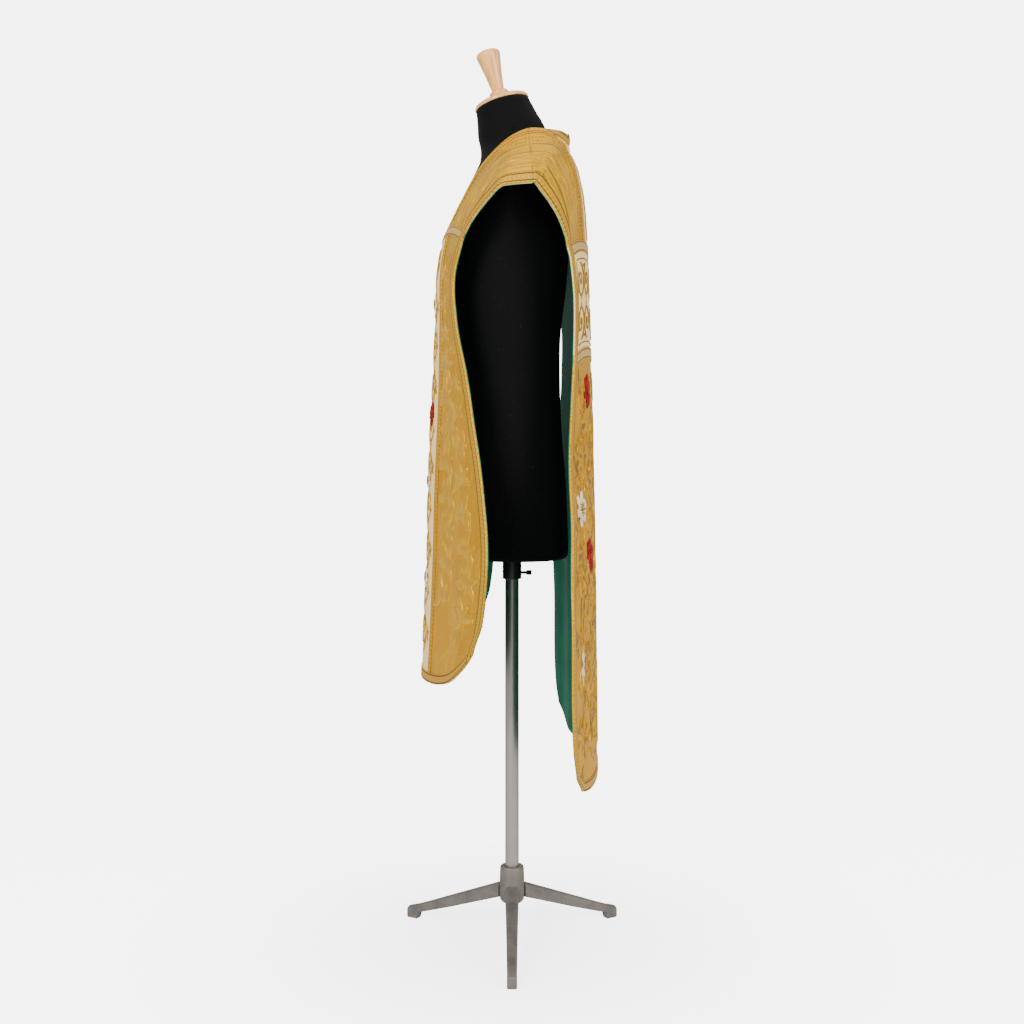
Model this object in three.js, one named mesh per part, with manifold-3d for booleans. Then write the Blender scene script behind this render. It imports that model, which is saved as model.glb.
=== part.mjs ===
// Fiddleback chasuble worn on a limbless dress form that slides on a three-legged stand.
// Millimetres, +Z up. The origin is the foot of the pole's axis on the floor.
// The garment's front faces -Y, and +X is the wearer's left.
import * as THREE from 'three';
import { mergeVertices } from 'three/addons/utils/BufferGeometryUtils.js';
import Module from 'manifold-3d';

const wasm = await Module();
wasm.setup();

// ---------- Driving dimensions ----------
const SEAM_GAP = 0.3;          // between pieces that are sewn or seated together
const BROCADE = 1.6;           // wall of a brocade panel with its interlining
const LINING = 1.0;            // wall of the satin lining
const GALLOON = 1.2;           // thickness of the woven braid
const EDGE_BRAID = 16;         // width of the braid round the outer edge
const NECK_BRAID = 16;         // width of the braid round the neck
const COLUMN_BRAID = 14;       // width of the braid beside the centre columns
const COLUMN_HALF = 100;       // half width of the front column
const EDGE_REF = 240;          // half width at which a section's drop is stated
const BOW_REF = 150;           // half width that sets how soon a section bows
const STAND_REACH = 30;        // how far from the neck the cloth stands up
const NECK_SOFT = 8;           // softening of that rise at the centre line

const POLE_R = 11.75;
const POLE_TOP = 1050;
const HUB_TOP = 124;
const HUB_BOTTOM = 62;
const LEG_REACH = 212;
const BORE_R = 12.4;
const BORE_TOP = 1215;
const COLLAR_TOP = 647.7;
const COLLAR_BOTTOM = 610;
const COLLAR_R = 16;
const SCREW_HEIGHT = 621;

// ---------- Tables: one row for each section ----------
const table = (columns, rows) => rows.map((row) => (
  Object.fromEntries(columns.map((name, k) => [name, row[k]]))
));

// Sections of the cloth's outer face, going down the sheet from the shoulder seam.
// height and depth are the centre line's Z and Y, drop is how far the section falls by EDGE_REF,
// stand is the rise at the neck, bow is how far it curves in depth, neck and edge are half widths.
const SECTION = ['down', 'height', 'drop', 'stand', 'depth', 'bow', 'neck', 'edge'];

const FRONT = table(SECTION, [
  [0, 1324.4, 98.4, 30, 25.4, 8.1, 85, 240],
  [30, 1316.1, 93.1, 26, -0.6, -2.7, 85, 240],
  [60, 1298.4, 81.9, 22, -27.7, 11.1, 83, 237.5],
  [100, 1272.7, 82.5, 16, -56.1, 23.2, 78, 229],
  [150, 1233.3, 75.1, 8, -83, 32.7, 70, 218],
  [195, 1190.9, 54.8, 0, -109.8, 54.4, 62, 208.5],
  [210, 1175.9, 53, 0, -116, 58.3, 0, 203.5],
  [270, 1118, 55, 0, -126, 60.3, 0, 190],
  [348, 1040, 25, 0, -128.5, 66.4, 0, 195],
  [438, 950, 8, 0, -132.5, 79.5, 0, 222],
  [542, 846, 0, 0, -138, 88, 0, 250],
  [638, 750, 0, 0, -141.5, 87.6, 0, 285],
  [729, 659, 0, 0, -142.5, 82.2, 0, 310],
  [818, 570, 0, 0, -146.5, 82.9, 0, 300],
  [868, 520, 0, 0, -148.5, 81, 0, 279],
  [937, 451, 0, 0, -151.5, 80, 0, 279],
]);

const BACK = table(SECTION, [
  [0, 1324.4, 98.4, 30, 25.4, 8.1, 85, 240],
  [30, 1326.5, 102, 28, 56.6, -24.4, 84.5, 240],
  [45, 1330, 109, 25, 69.5, -36, 70, 240],
  [56, 1329.5, 110, 28, 80, -46, 50, 240],
  [68, 1327.5, 111, 38.5, 93.5, -59.2, 0, 240],
  [100, 1316, 122.8, 20, 97.5, -47.6, 0, 237.5],
  [140, 1293, 127, 6, 109.5, -47.5, 0, 234],
  [200, 1243.4, 112.4, 0, 120, -48.2, 0, 228],
  [280, 1166.5, 43.7, 0, 126.5, -52.8, 0, 224.5],
  [297.5, 1148.5, 44, 0, 127, -49, 0, 220.5],
  [361, 1085, 46, 0, 129, -47.6, 0, 209.5],
  [449, 996.7, 48, 0, 131.7, -54.6, 0, 204.5],
  [467.5, 978.2, 46, 0, 132.2, -56, 0, 205],
  [530, 916, 30, 0, 134, -58.2, 0, 215],
  [600, 846, 16, 0, 135.6, -54.8, 0, 240],
  [680, 766, 6, 0, 137, -48.3, 0, 271],
  [790, 656, 0, 0, 138.5, -40.5, 0, 310],
  [870, 576, 0, 0, 139.3, -36.5, 0, 335],
  [996, 450, 0, 0, 141, -37, 0, 339],
  [1060, 386, 0, 0, 142, -37, 0, 331],
  [1100, 346, 0, 0, 142.5, -37, 0, 311],
  [1146, 300, 0, 0, 142.8, -37, 0, 311],
]);

// Soft folds of the hanging panels. across is signed, depth is outwards.
const FOLD = ['side', 'across', 'from', 'to', 'depth', 'width', 'lean'];
const FOLDS = table(FOLD, [
  ['back', -205, 540, 1100, -4.5, 26, -0.04],
  ['back', -262, 500, 1130, 4.0, 24, -0.06],
  ['back', -318, 700, 1120, -4.5, 22, 0.02],
  ['back', -120, 620, 1140, 2.5, 34, 0.03],
  ['back', 215, 600, 1130, -3.5, 30, 0.05],
  ['back', 285, 640, 1100, 2.5, 26, -0.03],
  ['back', 110, 560, 1080, 2.0, 36, 0.02],
  ['front', 150, 430, 900, -2.5, 34, 0.10],
  ['front', 235, 560, 880, 2.5, 30, -0.05],
  ['front', -165, 400, 880, -3.0, 32, -0.09],
  ['front', -250, 520, 860, 2.0, 28, 0.06],
]);

// Horizontal sections of the torso and neck: half width, depth centre, half depth,
// squareness (2 is an ellipse, less is pointed at the sides) and tilt in degrees.
const BODY = ['height', 'width', 'centre', 'depth', 'square', 'tilt'];
const TORSO = table(BODY, [
  [648, 146, 6, 85, 2.3, 0],
  [653, 151, 6, 88.5, 2.3, 0],
  [700, 160, 2, 92, 2.25, 0],
  [780, 157, 0, 90.5, 2.2, 0],
  [860, 147, -3, 87, 2.2, 0],
  [950, 139, -6, 87, 2.2, 0],
  [1020, 146, -8, 90, 2.2, 0],
  [1100, 158, -9, 100, 2.1, 0],
  [1150, 168, -7, 102, 1.9, 0],
  [1190, 180, -4, 100, 1.6, 0],
  [1220, 190, -2, 97, 1.45, 0],
  [1245, 190, 3, 92, 1.4, 0],
  [1265, 180, 7, 87, 1.4, 0],
  [1283, 160, 10, 80, 1.5, 0],
  [1300, 132, 11, 73, 1.5, 0],
  [1320, 95, 10, 64, 1.7, 2],
  [1342, 71, 6, 59, 1.9, 5],
  [1368, 60, -1, 57, 2, 9],
  [1392, 53, -9, 50.5, 2, 13],
  [1414, 48, -16.5, 46.2, 2, 15.7],
]);

const CAP_TILT = 15.7;

// ---------- Interpolation down a table ----------
// Over the shoulder seam each half carries on into the other, so that the seam is smooth.
const overSeam = (rows) => {
  if (rows !== FRONT && rows !== BACK) return rows[0];
  const next = (rows === FRONT ? BACK : FRONT)[1];
  return { ...next, down: -next.down };
};
const slopeAt = (rows, name, k) => {
  const before = k > 0 ? rows[k - 1] : overSeam(rows);
  const after = rows[Math.min(k + 1, rows.length - 1)];
  return (after[name] - before[name]) / (after.down - before.down);
};

function column(rows, name, down) {
  let k = 0;
  while (k < rows.length - 2 && rows[k + 1].down < down) k += 1;
  const a = rows[k];
  const b = rows[k + 1];
  const span = b.down - a.down;
  const t = Math.min(Math.max((down - a.down) / span, 0), 1);
  if (name === 'neck') return THREE.MathUtils.lerp(a.neck, b.neck, t);
  const t2 = t * t;
  const t3 = t2 * t;
  return (2 * t3 - 3 * t2 + 1) * a[name] + (t3 - 2 * t2 + t) * span * slopeAt(rows, name, k)
    + (3 * t2 - 2 * t3) * b[name] + (t3 - t2) * span * slopeAt(rows, name, k + 1);
}

// ---------- The cloth's outer face ----------
const front = { name: 'front', rows: FRONT, out: -1 };
const back = { name: 'back', rows: BACK, out: 1 };
const FADE = 120; // length over which a fold begins and ends

function foldDepth(side, down, across) {
  let depth = 0;
  for (const fold of FOLDS) {
    if (fold.side !== side.name) continue;
    const begin = THREE.MathUtils.smoothstep(down, fold.from, fold.from + FADE);
    const end = 1 - THREE.MathUtils.smoothstep(down, fold.to, fold.to + FADE);
    const offset = (across - fold.across - fold.lean * (down - fold.from)) / fold.width;
    depth += fold.depth * begin * end * Math.exp(-offset * offset);
  }
  return depth;
}

function facePoint(side, down, across) {
  const value = (name) => column(side.rows, name, down);
  const w = Math.abs(across);
  const fromNeck = Math.hypot(Math.max(w - value('neck'), 0), NECK_SOFT) - NECK_SOFT;
  const bowed = value('bow') * (Math.hypot(1, w / BOW_REF) - 1);
  return new THREE.Vector3(
    across,
    value('depth') + bowed + side.out * foldDepth(side, down, across),
    value('height') - value('drop') * (w / EDGE_REF) ** 3
      + value('stand') * Math.exp(-fromNeck / STAND_REACH),
  );
}

const STEP = 1.5; // finite step for the face's normal

function clothPoint(side, [down, across], outwards) {
  const above = down < STEP
    ? facePoint(side === front ? back : front, STEP - down, across)
    : facePoint(side, down - STEP, across);
  const alongDown = facePoint(side, down + STEP, across).sub(above);
  const alongWidth = facePoint(side, down, across + STEP)
    .sub(facePoint(side, down, across - STEP));
  const normal = alongDown.cross(alongWidth).normalize().multiplyScalar(-side.out);
  return facePoint(side, down, across).addScaledVector(normal, outwards);
}

const neckAt = (side, down) => column(side.rows, 'neck', down);
const edgeAt = (side, down) => column(side.rows, 'edge', down);

// ---------- Solids ----------
function meshFrom(points, triangles) {
  const geometry = new THREE.BufferGeometry();
  geometry.setAttribute('position', new THREE.Float32BufferAttribute(
    points.flatMap((p) => [p.x, p.y, p.z]), 3,
  ));
  geometry.setIndex(triangles.filter(([a, b, c]) => a !== b && b !== c && c !== a).flat());
  return geometry;
}

// A closed wall over a grid of [down, across] places. Its faces lie `from` and `to` outside
// the cloth's face. The diagonals of mirrored cells mirror each other.
function sheetWall(side, grid, from, to) {
  const rows = grid.length;
  const columns = grid[0].length;
  const places = grid.flat();
  const outer = places.map((place) => clothPoint(side, place, to));
  const inner = places.map((place) => clothPoint(side, place, from));
  const at = (i, j) => i * columns + j;
  const under = (i, j) => at(i, j) + places.length;
  const rising = grid[0][columns - 1][1] > grid[0][0][1];
  const turned = rising === (side.out > 0);
  const triangles = [];
  const add = (a, b, c) => triangles.push(turned ? [a, c, b] : [a, b, c]);
  for (let i = 0; i < rows - 1; i += 1) {
    for (let j = 0; j < columns - 1; j += 1) {
      const outwardColumns = (grid[i][j + 1][1] + grid[i][j][1] > 0) === rising;
      const corners = [[i, j], [i + 1, j], [i + 1, j + 1], [i, j + 1]];
      const order = outwardColumns ? [0, 1, 2, 0, 2, 3] : [0, 1, 3, 1, 2, 3];
      for (const k of [0, 3]) {
        const [a, b, c] = order.slice(k, k + 3).map((n) => corners[n]);
        add(at(...a), at(...b), at(...c));
        add(under(...a), under(...c), under(...b));
      }
    }
  }
  const rim = [];
  for (let i = 0; i < rows - 1; i += 1) rim.push([i, 0]);
  for (let j = 0; j < columns - 1; j += 1) rim.push([rows - 1, j]);
  for (let i = rows - 1; i > 0; i -= 1) rim.push([i, columns - 1]);
  for (let j = columns - 1; j > 0; j -= 1) rim.push([0, j]);
  rim.forEach((a, k) => {
    const b = rim[(k + 1) % rim.length];
    add(at(...a), under(...b), at(...b));
    add(at(...a), under(...a), under(...b));
  });
  return meshFrom([...outer, ...inner], triangles);
}

// A closed body through rings of points, each ring the same length, capped at both ends.
function loft(rings, capped = true) {
  const count = rings[0].length;
  const points = rings.flat();
  const triangles = [];
  for (let i = 0; i < rings.length - 1; i += 1) {
    for (let j = 0; j < count; j += 1) {
      const a = i * count + j;
      const b = i * count + ((j + 1) % count);
      triangles.push([a, b, b + count], [a, b + count, a + count]);
    }
  }
  if (capped) {
    const last = (rings.length - 1) * count;
    const middle = (ring) => ring.reduce((sum, p) => sum.add(p), new THREE.Vector3())
      .divideScalar(count);
    points.push(middle(rings[0]), middle(rings[rings.length - 1]));
    for (let j = 0; j < count; j += 1) {
      const next = (j + 1) % count;
      triangles.push([points.length - 2, next, j]);
      triangles.push([points.length - 1, last + j, last + next]);
    }
  }
  return meshFrom(points, triangles);
}

function solid(geometry) {
  const bare = geometry.clone();
  for (const name of ['normal', 'uv']) bare.deleteAttribute(name);
  const merged = mergeVertices(bare);
  return new wasm.Manifold(new wasm.Mesh({
    numProp: 3,
    vertProperties: merged.attributes.position.array,
    triVerts: new Uint32Array(merged.index.array),
  }));
}

function geometryOf(manifold) {
  const mesh = manifold.getMesh();
  const geometry = new THREE.BufferGeometry();
  geometry.setAttribute('position', new THREE.BufferAttribute(mesh.vertProperties, 3));
  geometry.setIndex(new THREE.BufferAttribute(mesh.triVerts, 1));
  return geometry;
}

// ---------- Materials ----------
const finish = (color, roughness, metalness = 0) => (
  new THREE.MeshStandardMaterial({ color, roughness, metalness })
);
const GOLD_BROCADE = finish(0xc9a24a, 0.5, 0.3);
const CREAM_SILK = finish(0xf0e2bd, 0.6);
const BRAID = finish(0xc9a35c, 0.5, 0.35);
const GREEN_SATIN = finish(0x2a6b54, 0.4);
const ROSE_SILK = finish(0xa8231f, 0.55);
const WHITE_SILK = finish(0xeee6d6, 0.6);
const BLACK_JERSEY = finish(0x17171a, 0.9);
const BEECH = finish(0xdfb483, 0.45);
const BLACK_METAL = finish(0x1b1b1c, 0.5, 0.3);
const SATIN_STEEL = finish(0xb7b2aa, 0.3, 0.9);
const CAST_METAL = finish(0x7c756d, 0.55, 0.5);

const chasuble = new THREE.Group();
const stand = new THREE.Group();
const form = new THREE.Group();

function piece(group, name, geometry, material) {
  geometry.computeVertexNormals();
  const mesh = new THREE.Mesh(geometry, material);
  mesh.name = name;
  group.add(mesh);
  return mesh;
}

// ---------- The cloth's grids ----------
const range = (from, to, count) => (
  Array.from({ length: count + 1 }, (_, k) => from + (to - from) * (k / count))
);
const HALF_GAP = SEAM_GAP / 2;
const BACK_NECK_CORNER = { down: 35, across: 84 };  // where the back column meets the neck
const BACK_NECK_DOWN = 68;                          // the back neck's lowest point, on the sheet
const backNeckDown = (across) => BACK_NECK_DOWN
  - (BACK_NECK_DOWN - BACK_NECK_CORNER.down) * (across / BACK_NECK_CORNER.across) ** 2;

const SHEETS = {
  front: { hem: 937, corner: 867, power: 4.4, braid: EDGE_BRAID },
  back: { hem: 1146, corner: 1100, power: 6, braid: EDGE_BRAID },
};
const CORNER_BLEND = 150; // length above the hem in which the rows begin to curl up

// A row of the hanging part: its centre and how far its ends lift towards the corners.
function hemRow(side, down) {
  const { hem, corner } = SHEETS[side.name];
  const curl = THREE.MathUtils.smoothstep(down, hem - CORNER_BLEND, hem) * (hem - corner);
  return { down, curl, edge: edgeAt(side, down - curl) };
}

const rowPlace = (side, row, across) => {
  const share = Math.min(Math.abs(across) / row.edge, 1);
  return [row.down - row.curl * share ** SHEETS[side.name].power, across];
};

const hemRows = (side, downs) => {
  const rows = downs.map((down) => hemRow(side, down));
  const last = rows[rows.length - 1];
  const inner = rows[rows.length - 2];
  inner.curl = last.curl;  // the row along the hem braid's inner edge follows the hem
  inner.edge = last.edge + 2;
  return rows;
};

// Columns of a half panel from `from` to the edge, with the edge braid's own column last.
const halfColumns = (row, from, braid, count, trim = 0) => [
  from,
  ...range(from + braid, row.edge - EDGE_BRAID, count),
  row.edge - trim,
];

const FRONT_BAR = { top: 195, bottom: 210 };
const BACK_BAR_1 = { top: 280, bottom: 297.5 };
const BACK_BAR_2 = { top: 449, bottom: 467.5 };

const FRONT_DOWNS = [195, 210, 240, 270, 308, 348, 393, 438, 490, 542, 590, 638, 684, 729,
  775, 820, 868, 921, 937];
const CROSS_DOWNS = [280, 297.5, 330, 361, 405, 449];
const LOWER_DOWNS = [449, 467.5, 500, 530, 565, 600, 640, 680, 735, 790, 830, 870, 933, 996,
  1045, 1088, 1130, 1146];
const FRONT_SHOULDER_DOWNS = [0, 15, 30, 45, 60, 80, 100, 125, 150, 172, 195];
const BACK_SHOULDER_DOWNS = [0, 15, 35, 51, 68, 84, 100, 120, 140, 170, 200, 240, 280];
const MID_COLUMNS = 4;

const frontRows = hemRows(front, FRONT_DOWNS);
const lowerRows = hemRows(back, LOWER_DOWNS);
const crossRows = CROSS_DOWNS.map((down) => ({ down, curl: 0, edge: edgeAt(back, down) }));

// The half width of the line where shoulder and back column meet.
const columnHalf = (down) => THREE.MathUtils.lerp(
  BACK_NECK_CORNER.across,
  COLUMN_HALF,
  THREE.MathUtils.smoothstep(down, BACK_NECK_CORNER.down, 160),
);
const shoulderFrom = (side, down) => {
  if (side === front) return neckAt(side, down);
  const blend = Math.min(down / BACK_NECK_CORNER.down, 1);
  return down < BACK_NECK_CORNER.down
    ? THREE.MathUtils.lerp(neckAt(side, 0), BACK_NECK_CORNER.across, blend)
    : columnHalf(down);
};

const placesOf = (side, rows, acrossOf) => (
  rows.map((row) => acrossOf(row).map((across) => rowPlace(side, row, across)))
);

// Trims the ends of a grid by half a seam gap, so that neighbours stand clear of each other.
function trimmed(grid, { top = 0, bottom = 0, start = 0, end = 0 }) {
  const copy = grid.map((row) => row.map((place) => [...place]));
  for (const place of copy[0]) place[0] += top;
  for (const place of copy[copy.length - 1]) place[0] -= bottom;
  for (const row of copy) {
    row[0][1] += start * Math.sign(row[row.length - 1][1] - row[0][1]);
    row[row.length - 1][1] -= end * Math.sign(row[row.length - 1][1] - row[0][1]);
  }
  return copy;
}

const LINING_TO = -(BROCADE + SEAM_GAP);
const LINING_FROM = LINING_TO - LINING;

function panel(name, side, grid, trims, material) {
  piece(chasuble, name, sheetWall(side, trimmed(grid, trims), -BROCADE, 0), material);
}

function lining(name, side, grid, trims) {
  const places = trimmed(grid, trims);
  piece(chasuble, name, sheetWall(side, places, LINING_FROM, LINING_TO), GREEN_SATIN);
}

function braid(name, side, grid, trims) {
  const places = trimmed(grid, trims);
  piece(chasuble, name, sheetWall(side, places, SEAM_GAP, SEAM_GAP + GALLOON), BRAID);
}

const sides = [['left', 1], ['right', -1]];
const WIDE_GAP = 0.8;  // where two pieces meet along a curve that their columns cut differently
const seams = { top: HALF_GAP, bottom: WIDE_GAP, start: HALF_GAP };

// ---------- Shoulders, front and back ----------
function shoulderGrid(side, downs, sign) {
  return downs.map((down) => {
    const from = shoulderFrom(side, down);
    const edge = edgeAt(side, down);
    const across = [from, ...range(from + NECK_BRAID, edge - EDGE_BRAID, MID_COLUMNS - 1), edge];
    return across.map((w) => [down, sign * w]);
  });
}

const columnsOf = (grid, from, to) => grid.map((row) => row.slice(from, to));
const last = (grid) => grid[0].length;
const edges = {}; // the outermost strips of the shoulders, which the edge braids begin on

for (const [word, sign] of sides) {
  const frontGrid = shoulderGrid(front, FRONT_SHOULDER_DOWNS, sign);
  const backGrid = shoulderGrid(back, BACK_SHOULDER_DOWNS, sign);
  const trims = { top: HALF_GAP, bottom: HALF_GAP };
  const frontSeams = { top: HALF_GAP, bottom: WIDE_GAP };
  panel(`front_shoulder_${word}`, front, frontGrid, frontSeams, GOLD_BROCADE);
  panel(`back_shoulder_${word}`, back, backGrid, seams, GOLD_BROCADE);
  lining(`lining_front_shoulder_${word}`, front, frontGrid, frontSeams);
  lining(`lining_back_shoulder_${word}`, back, backGrid, seams);
  const neckRows = 4; // rows of the back shoulder that the neck braid covers
  braid(`neck_braid_front_${word}`, front, columnsOf(frontGrid, 0, 2), trims);
  braid(`neck_braid_side_${word}`, back, columnsOf(backGrid.slice(0, neckRows), 0, 2),
    { ...trims, start: HALF_GAP });
  braid(`back_column_braid_${word}`, back, columnsOf(backGrid.slice(neckRows - 1), 0, 2), trims);
  const outer = [last(frontGrid) - 2, last(frontGrid)];
  edges[`front_${word}`] = columnsOf(frontGrid, ...outer);
  edges[`back_${word}`] = columnsOf(backGrid, ...outer);
}

// ---------- Back column above the first bar ----------
const COLUMN_SHARES = [-1, -0.75, -0.45, 0, 0.45, 0.75, 1];
const columnTop = (share) => backNeckDown(share * BACK_NECK_CORNER.across);
const columnDowns = BACK_SHOULDER_DOWNS.filter((down) => down > BACK_NECK_CORNER.down);

// The first row follows the neck, and the ends of the others meet the shoulder's own rows.
const backColumnGrid = [BACK_NECK_CORNER.down, ...columnDowns].map((sideDown) => (
  COLUMN_SHARES.map((share) => {
    const top = columnTop(share);
    const first = columnDowns[0];
    const fall = (sideDown - first) / (BACK_BAR_1.top - first);
    const down = fall < 0 ? top : THREE.MathUtils.lerp(top + NECK_BRAID, BACK_BAR_1.top, fall);
    return [down, share * columnHalf(sideDown)];
  })
));
const columnTrims = { bottom: HALF_GAP, start: HALF_GAP, end: HALF_GAP };
panel('back_column', back, backColumnGrid, columnTrims, CREAM_SILK);
lining('lining_back_column', back, backColumnGrid, columnTrims);
braid('neck_braid_back', back, backColumnGrid.slice(0, 2), { start: HALF_GAP, end: HALF_GAP });

// ---------- Front column and wings ----------
const COLUMN_COLUMNS = range(-COLUMN_HALF, COLUMN_HALF, 6);
const frontColumnGrid = placesOf(front, frontRows, () => COLUMN_COLUMNS);
panel('front_column', front, frontColumnGrid,
  { top: HALF_GAP, start: HALF_GAP, end: HALF_GAP }, CREAM_SILK);

const frontHalf = (row) => halfColumns(row, COLUMN_HALF, COLUMN_BRAID, MID_COLUMNS - 1);
const mirror = (sign, list) => list.map((w) => sign * w);
const hemBraidRows = (grid) => grid.slice(grid.length - 2);

for (const [word, sign] of sides) {
  const grid = placesOf(front, frontRows, (row) => mirror(sign, frontHalf(row)));
  panel(`front_wing_${word}`, front, grid, { top: HALF_GAP, start: HALF_GAP }, GOLD_BROCADE);
  const outer = columnsOf(grid, last(grid) - 2, last(grid));
  braid(`edge_braid_front_${word}`, front,
    [...edges[`front_${word}`], ...outer.slice(1)], { top: HALF_GAP });
  const inside = grid.slice(1, grid.length - 1);
  braid(`front_column_braid_${word}`, front, columnsOf(inside, 0, 2),
    { top: SEAM_GAP, bottom: SEAM_GAP });
}

const acrossAll = (half, middle) => [
  ...[...half].reverse().map((w) => -w), ...middle.slice(1, -1), ...half,
];
const frontAll = (row) => acrossAll(frontHalf(row), COLUMN_COLUMNS);
const barGrid = (side, rows, list) => placesOf(side, rows, (row) => list(row).slice(1, -1));
const clearEnds = { start: SEAM_GAP, end: SEAM_GAP };
lining('lining_front', front, placesOf(front, frontRows, frontAll), { top: HALF_GAP });
braid('front_bar_braid', front, barGrid(front, frontRows.slice(0, 2), frontAll), clearEnds);
braid('front_hem_braid', front, hemBraidRows(barGrid(front, frontRows, frontAll)), clearEnds);

// ---------- Back cross arm and lower panel ----------
const backHalf = (row) => range(0, row.edge - EDGE_BRAID, 5).slice(1).concat(row.edge);
const backAll = (row) => [...backHalf(row)].reverse().map((w) => -w).concat(0, backHalf(row));
const crossGrid = placesOf(back, crossRows, backAll);
const lowerGrid = placesOf(back, lowerRows, backAll);
panel('back_cross_arm', back, crossGrid, { top: HALF_GAP, bottom: HALF_GAP }, CREAM_SILK);
panel('back_lower', back, lowerGrid, { top: HALF_GAP }, GOLD_BROCADE);
lining('lining_back', back, [...crossGrid, ...lowerGrid.slice(1)], { top: HALF_GAP });
braid('back_bar_braid_upper', back, barGrid(back, crossRows.slice(0, 2), backAll), clearEnds);
braid('back_bar_braid_lower', back, barGrid(back, lowerRows.slice(0, 2), backAll), clearEnds);
braid('back_hem_braid', back, hemBraidRows(barGrid(back, lowerRows, backAll)), clearEnds);

for (const [word, sign] of sides) {
  const outerOf = (grid) => {
    const count = last(grid);
    return sign > 0
      ? columnsOf(grid, count - 2, count)
      : columnsOf(grid, 0, 2).map((row) => [...row].reverse());
  };
  braid(`edge_braid_back_${word}`, back, [
    ...edges[`back_${word}`],
    ...outerOf(crossGrid).slice(1),
    ...outerOf(lowerGrid).slice(1),
  ], { top: HALF_GAP });
}

// ---------- Raised embroidered flowers ----------
const FLOWER = ['name', 'side', 'down', 'across', 'radius', 'petals', 'material'];
const FLOWERS = table(FLOWER, [
  ['back_rose_upper', back, 522, 110, 30, 5, ROSE_SILK],
  ['back_flower_upper', back, 710, 199, 31, 5, WHITE_SILK],
  ['back_rose_lower', back, 788, 152, 31, 5, ROSE_SILK],
  ['back_flower_lower', back, 944, 256, 32, 5, WHITE_SILK],
]);
const FLOWER_HEIGHT = 3;
const FLOWER_CLEAR = 1.05;
const FLOWER_SIDES = 15;
const PETAL_NOTCH = 0.14;

// A point over the flat facets of a panel's grid, found in the cell that holds [down, across].
function facetPoint(side, grid, [down, across], outwards) {
  const cellHolds = (i, j) => {
    const [a, b, d] = [grid[i][j], grid[i + 1][j], grid[i][j + 1]];
    return down >= a[0] && down < b[0] && across >= a[1] && across < d[1];
  };
  for (let i = 0; i < grid.length - 1; i += 1) {
    for (let j = 0; j < grid[i].length - 1; j += 1) {
      if (!cellHolds(i, j)) continue;
      const [a, b, c, d] = [grid[i][j], grid[i + 1][j], grid[i + 1][j + 1], grid[i][j + 1]];
      const corners = across > 0 ? [[a, b, c], [a, c, d]] : [[a, b, d], [b, c, d]];
      const flat = (place) => new THREE.Vector3(place[0], place[1], 0);
      const held = corners.find((three) => (
        THREE.Triangle.containsPoint(flat([down, across]), ...three.map(flat))
      )) ?? corners[0];
      const [p, q, r] = held.map((place) => clothPoint(side, place, 0));
      return THREE.Triangle.getInterpolation(
        flat([down, across]), ...held.map(flat), p, q, r, new THREE.Vector3(),
      ).add(clothPoint(side, [down, across], outwards).sub(facePoint(side, down, across)));
    }
  }
  return clothPoint(side, [down, across], outwards);
}

function flowerRing(side, grid, centre, radius, petals, outwards) {
  return Array.from({ length: FLOWER_SIDES }, (_, k) => {
    const angle = (k / FLOWER_SIDES) * 2 * Math.PI;
    const reach = radius * (1 - PETAL_NOTCH * (0.5 - 0.5 * Math.cos(petals * angle)));
    const place = [centre[0] - reach * Math.cos(angle), centre[1] + reach * Math.sin(angle)];
    return facetPoint(side, grid, place, outwards);
  });
}

// Rings of a flower from the middle of its underside, over its rim, to the middle of its top.
const FLOWER_PROFILE = table(['share', 'rise'], [
  [0.05, 0], [0.6, 0], [1, 0], [0.96, 0.55], [0.6, 0.9], [0.3, 1],
]);

function flower(side, grid, centre, radius, petals) {
  const rings = FLOWER_PROFILE.map(({ share, rise }) => (
    flowerRing(side, grid, centre, radius * share, petals, FLOWER_CLEAR + rise * FLOWER_HEIGHT)
  ));
  return loft(side.out > 0 ? rings : rings.map((ring) => [...ring].reverse()));
}

for (const bloom of FLOWERS) {
  for (const [word, sign] of sides) {
    const centre = [bloom.down, sign * bloom.across];
    piece(chasuble, `${bloom.name}_${word}`,
      flower(bloom.side, lowerGrid, centre, bloom.radius, bloom.petals), bloom.material);
  }
}

// ---------- Torso and neck ----------
const AROUND = 28;
const circle = (count, make) => Array.from({ length: count }, (_, k) => (
  make((k / count) * 2 * Math.PI)
));

function torsoRing(row) {
  const tilt = THREE.MathUtils.degToRad(row.tilt);
  const power = 2 / row.square;
  const swell = (value) => Math.sign(value) * Math.abs(value) ** power;
  return circle(AROUND, (angle) => {
    const forward = row.depth * swell(Math.sin(angle));
    return new THREE.Vector3(
      row.width * swell(Math.cos(angle)),
      row.centre + forward * Math.cos(tilt),
      row.height + forward * Math.sin(tilt),
    );
  });
}

const boreRing = (height) => circle(AROUND, (angle) => (
  new THREE.Vector3(BORE_R * Math.cos(angle), BORE_R * Math.sin(angle), height)
));
piece(form, 'torso', loft([
  boreRing(BORE_TOP),
  boreRing(TORSO[0].height),
  ...TORSO.map(torsoRing),
]), BLACK_JERSEY);

// ---------- Wooden neck cap and turned handle, on the tilted neck ----------
const turned = (profile, sides_ = 28) => new THREE.LatheGeometry(
  profile.map(([r, h]) => new THREE.Vector2(r, h)), sides_,
).rotateX(Math.PI / 2);

const neckTop = TORSO[TORSO.length - 1];
const neckCap = new THREE.Group();
neckCap.position.set(0, neckTop.centre, neckTop.height);
neckCap.rotation.x = THREE.MathUtils.degToRad(CAP_TILT);
form.add(neckCap);

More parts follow.
